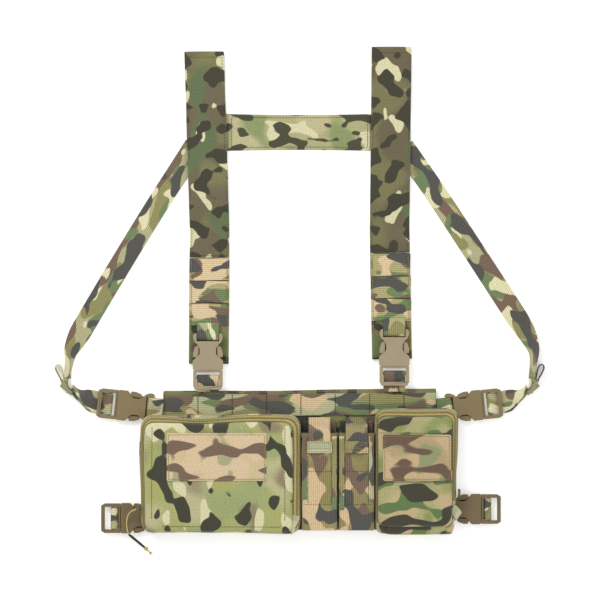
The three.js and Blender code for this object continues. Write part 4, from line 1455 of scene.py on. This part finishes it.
# %% Pouch bodies, zippers, covers and patches
for side, spec in POUCHES.items():
    box, corner, cloth = spec["box"], spec["corner"], spec["cloth"]
    centre = ((box[0] + box[1]) / 2, (box[2] + box[3]) / 2)
    seed = 3 if side == "left" else 11
    outline = settle(side, rounded_loop(box, corner))
    foot = rounded_loop(spec["foot"], corner - 2)
    floor_loop = rounded_loop(inset_box(spec["foot"], 1.5), corner - 3)
    loops = [blend_loops(floor_loop, [centre] * len(floor_loop), 0.6), floor_loop, foot, foot]
    heights = [7.4, 7.4, 8.6, 12.2]
    for level, out in ((14.2, -0.4), (17, 0.5), (21, 0.8), (25, 0.3), (27.2, -0.2), (28.7, -0.4)):
        loops.append(
            wander(settle(side, rounded_loop(inset_box(box, -out), corner)), centre, seed, 0.5 + out)
        )
        heights.append(level)
    body = loft(
        side + "_pouch_body", loops, heights, cloth,
        cap_low=True, body="root", replaces=[side + "_pouch_back"], slot="camo_fabric",
    )
    shell_of(body, 1.1)
    refine(body)
    inner = wander(settle(side, side_bands(box, corner - 3, spec["bands"])), centre, seed, 0.8)
    outline = wander(outline, centre, seed, 0.4)
    tape_loops, tape_heights = [], []
    for share, level in ((0.0, 27.5), (0.02, 29.6), (0.2, 31.6), (0.5, 32.9), (0.8, 33.4), (1.0, 33.2)):
        tape_loops.append(blend_loops(outline, inner, share))
        tape_heights.append(level)
    tape = loft(
        side + "_zipper_tape",
        tape_loops,
        tape_heights,
        zipper_tape,
        uv_side=False,
        body="root",
        replaces=[side + "_pouch_zipper"],
        slot="zipper_tape",
    )
    # Beyond the ends of the zip, the band is a gusset of the pouch's own cloth.
    first, last = spec["zipped"]
    tape.data.materials.append(cloth)
    for face in tape.data.polygons:
        along = min(k % len(outline) for k in face.vertices)
        face.material_index = 0 if first <= along < last else 1
    shell_of(tape, 0.8)
    refine(tape)
    coil = [Vector((x, y, 33.1)) * MM for x, y in blend_loops(outline, inner, 0.42)][first : last + 1]
    sew(
        side + "_zipper_coil", [coil], "root", zip_coil,
        pitch=1.25, size=(2.4, 0.85, 0.9), slot="zipper_tape",
    )
    # The ring at 0.86 goes the whole way round in dark thread. It is partly a real seam along the cover's rim
    # and partly painted shade: its dark line stands in for the shadow in the crease under the cover.
    for share in (0.1, 0.86):
        run = [
            Vector((x, y, 31.5 if share < 0.5 else 33.75)) * MM
            for x, y in blend_loops(outline, inner, share)
        ]
        run = run[first : last + 1] if share < 0.5 else run + run[:1]
        sew(
            f"{side}_tape_stitches_{round(share * 100)}", [run], "root", dark_thread,
            pitch=3.1, size=(0.6, 2.2, 0.45),
        )

    # The cover rises from its rim, rolls over a welt and crowns towards the patch.
    cover_loops, cover_heights = [], []
    for inset, level in ((0.0, 34.0), (-0.3, 35.4), (0.1, 36.8), (1.0, 38.2), (2.6, 39.2), (5.0, 39.8)):
        grown = (
            spec["bands"][0] + inset, spec["bands"][1] + inset, max(spec["bands"][2] + inset, 0.2),
            spec["bands"][3] + inset,
        )
        ring = wander(settle(side, side_bands(box, max(corner - 3 - inset, 3), grown)), centre, seed, 0.8)
        cover_loops.append(ring)
        cover_heights.append(level)
    top = cover_loops[-1]
    for scale in (0.97, 0.93, 0.88, 0.81, 0.73, 0.64, 0.54, 0.44, 0.33, 0.22, 0.1):
        ring = [(centre[0] + (x - centre[0]) * scale, centre[1] + (y - centre[1]) * scale) for x, y in top]
        inside = min(1.0, (1 - scale) * 7)
        low_patch, high_patch = spec["patch"][2], spec["patch"][3]
        levels = []
        for x, y in ring:
            bulge = 0.9 * (1 - scale**3)
            crease = -0.5 * math.exp(-(((y - low_patch) / 3.0) ** 2))
            off_patch = 0.0 if spec["patch"][0] < x < spec["patch"][1] and low_patch < y < high_patch else 1.0
            fold = wrinkle(x, y, seed, 21, 0.75) + wrinkle(x, y, seed + 5, 9, 0.22)
            levels.append(40.0 + bulge + inside * (crease + fold * (0.35 + 0.65 * off_patch)))
        cover_loops.append(ring)
        cover_heights.append(levels)
    cover = loft(
        side + "_pouch_cover_cloth",
        cover_loops,
        cover_heights,
        cloth,
        cap_high=True,
        body=side + "_pouch_lid",
        replaces=[side + "_pouch_cover"],
        slot="camo_fabric",
    )
    shell_of(cover, 1.2)
    refine(cover)
    # The cloth that joins the cover to the pouch at the hinge, as one fixed piece on no body.
    x0, x1 = box[0] + corner + 2, box[1] - corner - 2
    rim_y, edge_y = box[2] + 0.6, box[2] + spec["bands"][2] + 0.4
    fold = [
        (rim_y, 29.6), (rim_y + 0.1, 31.8), (rim_y * 0.7 + edge_y * 0.3, 33.4),
        (edge_y * 0.8 + rim_y * 0.2, 34.3), (edge_y, 35.0),
    ]
    path = smooth_path([Vector(((x0 + x1) / 2, y, z)) * MM for y, z in fold], 2)
    strip = sweep(
        side + "_hinge_cloth", path, (1, 0, 0), (x1 - x0) * MM, 0.9 * MM, cloth,
        origin=(0.2, 0.7), slot="camo_fabric",
    )
    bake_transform(strip)
    patch = spec["patch"]
    cushion(
        side + "_loop_pile_patch",
        patch,
        2.2,
        40.2,
        41.9,
        left_pile if side == "left" else right_pile,
        crown=0.5,
        edge=0.6,
        seed=seed,
        wrinkles=0.25,
        body=side + "_pouch_lid",
        replaces=[side + "_pouch_loop_patch"],
        slot="loop_fabric",
    )
    rows = box_rows(patch[0] + 2, patch[1] - 2, patch[2] + 2, patch[3] - 2, 42.1)
    sew(side + "_patch_stitches", rows, side + "_pouch_lid", thread, pitch=3.0)
    sew(
        side + "_cover_stitches", [laid_on(cover, *seam) for seam in spec["seams"]], side + "_pouch_lid",
        dark_thread,
        pitch=3.1,
    )

# %% Folded tabs that close the lower ends of the zips
for side, path, wide in (
    (
        "left",
        [
            (-4.2, -258.5, 33.2), (-4.4, -261.5, 34.7), (-7.6, -267.5, 35.0), (-10.6, -273.0, 34.6),
            (-12.2, -277.0, 32.0), (-12.4, -278.6, 28.0),
        ],
        8.6,
    ),
    (
        "right",
        [
            (174.6, -250.5, 33.8), (177.0, -252.3, 33.6), (180.2, -255.6, 31.2), (182.2, -258.8, 26.0),
            (182.4, -260.2, 21.0),
        ],
        11.0,
    ),
):
    path = smooth_path([Vector(p) * MM for p in path], 2)
    sweep(
        side + "_zip_end_tab", path, (0.88, -0.47, 0) if side == "left" else (0.55, 0.83, 0), wide * MM,
        1.1 * MM, pull_tab_webbing,
        body="root", slot="camo_webbing",
    )
print("pouches done")

# %% [markdown]
# ## Magazine pouches
# Each is a tube of wide webbing, closed at the bottom and open at the top, with narrow elastic strips down
# its sides and lines of stitching across its front. It is built as rings that run round the tube, so the
# mouth stays open and the front can puff between the stitch lines. Its flap is a pull tab of webbing that
# comes over from behind.


# %% Rings round a magazine pouch
def tube_ring(x0, x1, z0, z1, corner, y, per_side=8, per_corner=3):
    loop = rounded_loop((x0, x1, z0, z1), corner, per_side, per_corner)
    return [Vector((x, y, z)) for x, z in loop]


def skin(name, rings, material, cap_first=False, origin=(0.0, 0.0), **how):
    """Joins rings of points, in mm, into one skin. The UV map runs round each ring and along the rings."""
    count = len(rings[0])
    points, uvs, faces = [], [], []
    for ring in rings:
        reach = 0.0
        for j, p in enumerate(ring):
            points.append(p * MM)
            uvs.append((origin[0] + reach * MM, origin[1] + p.y * MM))
            reach += (ring[(j + 1) % count] - p).length
    for i in range(len(rings) - 1):
        for j in range(count):
            a, b = i * count + j, i * count + (j + 1) % count
            faces.append((a, b, b + count, a + count))
    if cap_first:
        faces.append(tuple(range(count)))
    return new_piece(name, points, faces, uvs, material, **how)


MAG_FRONT = 33.0
MAG_FLOOR = 7.4
STITCH_LINES = (-208.0, -246.0)
for side, x0, x1 in (("left", 2.2, 43.3), ("right", 44.7, 85.8)):
    middle = (x0 + x1) / 2
    rings = []
    for y, inset in ((-273.6, 5.5), (-275.2, 2.8), (-275.8, 0.9)):
        rings.append(tube_ring(x0 + inset, x1 - inset, MAG_FLOOR + inset * 0.6, MAG_FRONT - inset, 3.2, y))
    for y in np.linspace(-275.0, -164.2, 40):
        puff = -1.1 * sum(math.exp(-(((y - line) / 2.2) ** 2)) for line in STITCH_LINES)
        puff += 0.5 * noise.noise(Vector((y / 14, x0, 2.0)))
        gape = 1.0 * max(0.0, (y + 190) / 26)
        rings.append(
            tube_ring(
                x0 + 0.4 * math.sin(y / 15) ** 2, x1 - 0.4 * math.sin(y / 11) ** 2, MAG_FLOOR,
                MAG_FRONT + puff - 0.4 * gape, 3.4, y,
            )
        )
    body = skin(
        side + "_magazine_pouch",
        rings,
        mag_cloth if side == "left" else right_mag_cloth,
        cap_first=True,
        origin=(0.0, 0.4) if side == "left" else (0.52, 0.31),
        body="root",
        replaces=[side + "_mag_pouch"],
        slot="camo_webbing",
    )
    shell_of(body, 1.4)
    refine(body)
    plate_path = [Vector((middle, y, 8.1)) * MM for y in np.linspace(-168, -150.4, 8)]
    sweep(
        side + "_magazine_back", plate_path, (1, 0, 0), 38.5 * MM, 1.3 * MM, panel_cloth,
        origin=(0.6, 0.9), body="root", slot="camo_fabric",
    )
    lip = tube_ring(x0, x1, MAG_FLOOR, MAG_FRONT - 0.4, 3.4, -166.4, 10, 4)
    lip_path = [Vector(p) * MM for p in lip]
    sweep(
        side + "_mouth_binding",
        lip_path + lip_path[:1],
        (0, 1, 0),
        5.0 * MM,
        0.9 * MM,
        binding_tape,
        body="root",
        slot="camo_webbing",
    )
    # Elastic strips down the two front edges, over the corners.
    for s, edge in ((-1, x0), (1, x1)):
        strip = []
        for y in np.linspace(-240 if s * (1 if side == "right" else -1) > 0 else -252, -167.5, 22):
            strip.append(Vector((edge - s * 3.6, y, MAG_FRONT + 0.1 - 0.35 * abs(math.sin(y / 4.2)))) * MM)
        sweep(
            f"{side}_side_elastic_{'left' if s < 0 else 'right'}",
            strip,
            (1, 0, 0),
            5.6 * MM,
            0.9 * MM,
            row_webbing,
            origin=(0.21 + edge * MM, 0.33),
            body="root",
            slot="elastic",
        )
    rows = []
    for line in STITCH_LINES:
        rows.append([Vector((x, line, MAG_FRONT - 0.75)) * MM for x in np.linspace(x0 + 3.5, x1 - 3.5, 14)])
    for x in (x0 + 7.2, x1 - 7.2):
        rows.append([Vector((x, y, MAG_FRONT + 0.15)) * MM for y in np.linspace(-244, -190, 12)])
    sew(side + "_magazine_stitches", rows, "root", dark_thread, pitch=2.9)

    # The flap: from behind the mouth, up over the front edge, and down to a doubled pull tab.
    profile_line = [
        (-146.4, 9.9), (-150.5, 9.9), (-153.4, 12.5), (-156.2, 22.0), (-158.2, 30.6), (-161.4, 34.4),
        (-167, 34.5), (-175, 34.3), (-187.2, 34.3),
    ]
    path = resample(smooth_path([Vector((middle, y, z)) * MM for y, z in profile_line], 2), 2 * MM)
    sweep(
        side + "_pull_flap",
        path,
        (1, 0, 0),
        WEBBING,
        THICK,
        mag_cloth,
        origin=(0.61 if side == "left" else 0.92, 0.1),
        body=side + "_flap",
        replaces=[side + "_mag_flap"],
        slot="camo_webbing",
    )
    half = 14.2 if side == "left" else 13.4
    tab_box = (middle - half, middle + half, -186.8, -173.2)
    cushion(
        side + "_pull_tab",
        tab_box,
        1.5,
        34.7,
        36.2,
        pull_tab_webbing if side == "left" else mag_cloth,
        crown=0.25,
        edge=0.5,
        wrinkles=0.1,
        body=side + "_flap",
        slot="camo_webbing",
    )
    rows = box_rows(
        tab_box[0] + 1.8, tab_box[1] - 1.8, tab_box[2] + 1.6, tab_box[3] - 1.6, 36.35, side == "right"
    )
    rows.append([Vector((tab_box[0] + 2, -182.0, 36.4)) * MM, Vector((tab_box[1] - 2, -182.0, 36.4)) * MM])
    sew(side + "_tab_stitches", rows, side + "_flap", thread, pitch=2.3, size=(0.7, 1.9, 0.4))
print("magazine pouches done")

# %% [markdown]
# ## Zipper sliders and the pull cord
# A slider is a small casting that rides the coil: a body with rounded flanks, and a bail over its top. The
# left one has a thin braided cord for a pull. It hangs off the pouch's edge, lies over the buckle and ends
# in a shrink-tube grip and a knot with a frayed tip.


# %% Sliders
def slider(name, node, body):
    low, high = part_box(node)
    middle = (low + high) / 2 / MM
    rings = []
    for y, narrow in (
        (-5.0, 0.9), (-4.4, 0.3), (-3.0, 0.0), (-0.8, 0.25), (0.8, 0.25), (3.0, 0.0), (4.4, 0.3), (5.0, 0.9)
    ):
        ring = tube_ring(-1.5 + narrow * 0.5, 1.5 - narrow * 0.5, -3.3 + narrow, 3.3 - narrow, 0.7, y, 3, 2)
        rings.append([p + middle for p in ring])
    piece = skin(name, rings, painted_zinc, cap_first=True, body=body, replaces=[node], slot="coated_zinc")
    shut = bmesh.new()
    shut.from_mesh(piece.data)
    bmesh.ops.holes_fill(shut, edges=[edge for edge in shut.edges if edge.is_boundary])
    shut.to_mesh(piece.data)
    shut.free()
    bail = [(0, -3.2, 3.0), (0, -3.0, 4.0), (0, -1.6, 4.7), (0, 1.6, 4.7), (0, 3.0, 4.0), (0, 3.2, 3.0)]
    path = smooth_path([(Vector(p) + middle) * MM for p in bail], 2)
    sweep(name + "_bail", path, (1, 0, 0), 1.5 * MM, 0.9 * MM, painted_zinc, body=body, slot="coated_zinc")
    return piece


slider("left_slider", "left_zip_slider", "left_zip_pull")
slider("right_slider", "right_zip_slider", "right_zip_pull")

# %% Pull cord
CORD_ROUTE = [
    (-187, -251, 30),
    (-190, -252.2, 29.3),
    (-193.4, -254, 26.4),
    (-196, -256.6, 22.4),
    (-197.6, -259.6, 18.8),
    (-198.5, -263, 15.9),
    (-198.9, -267, 14.3),
    (-198.8, -271, 13.7),
    (-198.4, -275, 13.6),
    (-197.7, -278, 13.5),
    (-196.6, -280.8, 13),
]
route = resample(smooth_path([Vector(p) * MM for p in CORD_ROUTE], 1), 1.9 * MM)
line = bpy.data.curves.new("pull_cord_line", "CURVE")
line.dimensions = "3D"
line.bevel_depth = 0.8 * MM
line.bevel_resolution = 3
line.resolution_u = 4
strand = line.splines.new("POLY")
strand.points.add(len(route) - 1)
for point, place in zip(strand.points, route):
    point.co = (*place, 1)
line.materials.append(cord_yarn)
cord = bpy.data.objects.new("left_pull_cord", line)
bpy.context.scene.collection.objects.link(cord)
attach(cord, "left_zip_pull")
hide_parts("pull_cord")


# %% Grip, knot and frayed tip
def round_skin(name, path, radii, material, sides=12, **how):
    """A round bar along a path in millimetres whose radius changes from point to point."""
    rings = []
    for i, centre in enumerate(path):
        tangent = (path[min(i + 1, len(path) - 1)] - path[max(i - 1, 0)]).normalized()
        side = tangent.cross(Vector((0, 0, 1))).normalized()
        other = side.cross(tangent)
        angles = [2 * math.pi * k / sides for k in range(sides)]
        rings.append([centre + (side * math.cos(a) + other * math.sin(a)) * radii[i] for a in angles])
    piece = skin(name, rings, material, cap_first=True, **how)
    shut = bmesh.new()
    shut.from_mesh(piece.data)
    bmesh.ops.holes_fill(shut, edges=[edge for edge in shut.edges if edge.is_boundary])
    bmesh.ops.recalc_face_normals(shut, faces=shut.faces)
    shut.to_mesh(piece.data)
    shut.free()
    return piece


grip_start = Vector((-196.4, -281.0, 12.9))
knot_at = Vector((-177, -297.6, 2.8))
tip_at = Vector((-170.4, -304.2, 1.0))
grip_path = [
    grip_start.lerp(knot_at, f) + Vector((0, 0, -0.6 * math.sin(f * math.pi)))
    for f in np.linspace(0, 0.93, 12)
]
grip = round_skin(
    "cord_grip", grip_path, [1.1, 1.4, *([1.5] * 8), 1.4, 1.1], shrink_tube,
    body="left_zip_pull", replaces=["cord_end"], slot="shrink_tube",
)
away = (tip_at - knot_at).normalized()
side_way = away.cross(Vector((0, 0, 1))).normalized()
turns = []
for t in np.linspace(0, 2 * math.pi, 26):
    rise = Vector((0, 0, 0.9 * math.cos(t) + 0.3))
    turns.append(knot_at + away * (1.5 * math.sin(2 * t)) + side_way * (1.5 * math.sin(t + 0.4)) + rise)
knot = round_skin("cord_knot", turns, [0.95] * len(turns), cord_yarn, body="left_zip_pull", slot="cord_braid")
tail_path = [knot_at.lerp(tip_at, f) for f in np.linspace(0, 0.72, 7)]
tail_end = round_skin(
    "cord_tail", tail_path, [0.8] * 6 + [0.7], cord_yarn, body="left_zip_pull", slot="cord_braid"
)
for k in range(7):
    start = knot_at.lerp(tip_at, 0.68)
    spread = side_way * (0.42 * (k - 3)) + Vector((0, 0, 0.25 * ((k * 5) % 3 - 1)))
    end = tip_at + spread * 1.4 + away * (0.5 * ((k * 3) % 4) - 1.0)
    end.z = max(end.z, 0.4)
    path = [start + spread * 0.3, start.lerp(end, 0.5) + spread * 0.5, end]
    round_skin(
            f"cord_fray_{k + 1}", path, [0.3, 0.27, 0.16], cord_yarn, 6,
            body="left_zip_pull", slot="cord_braid",
        )
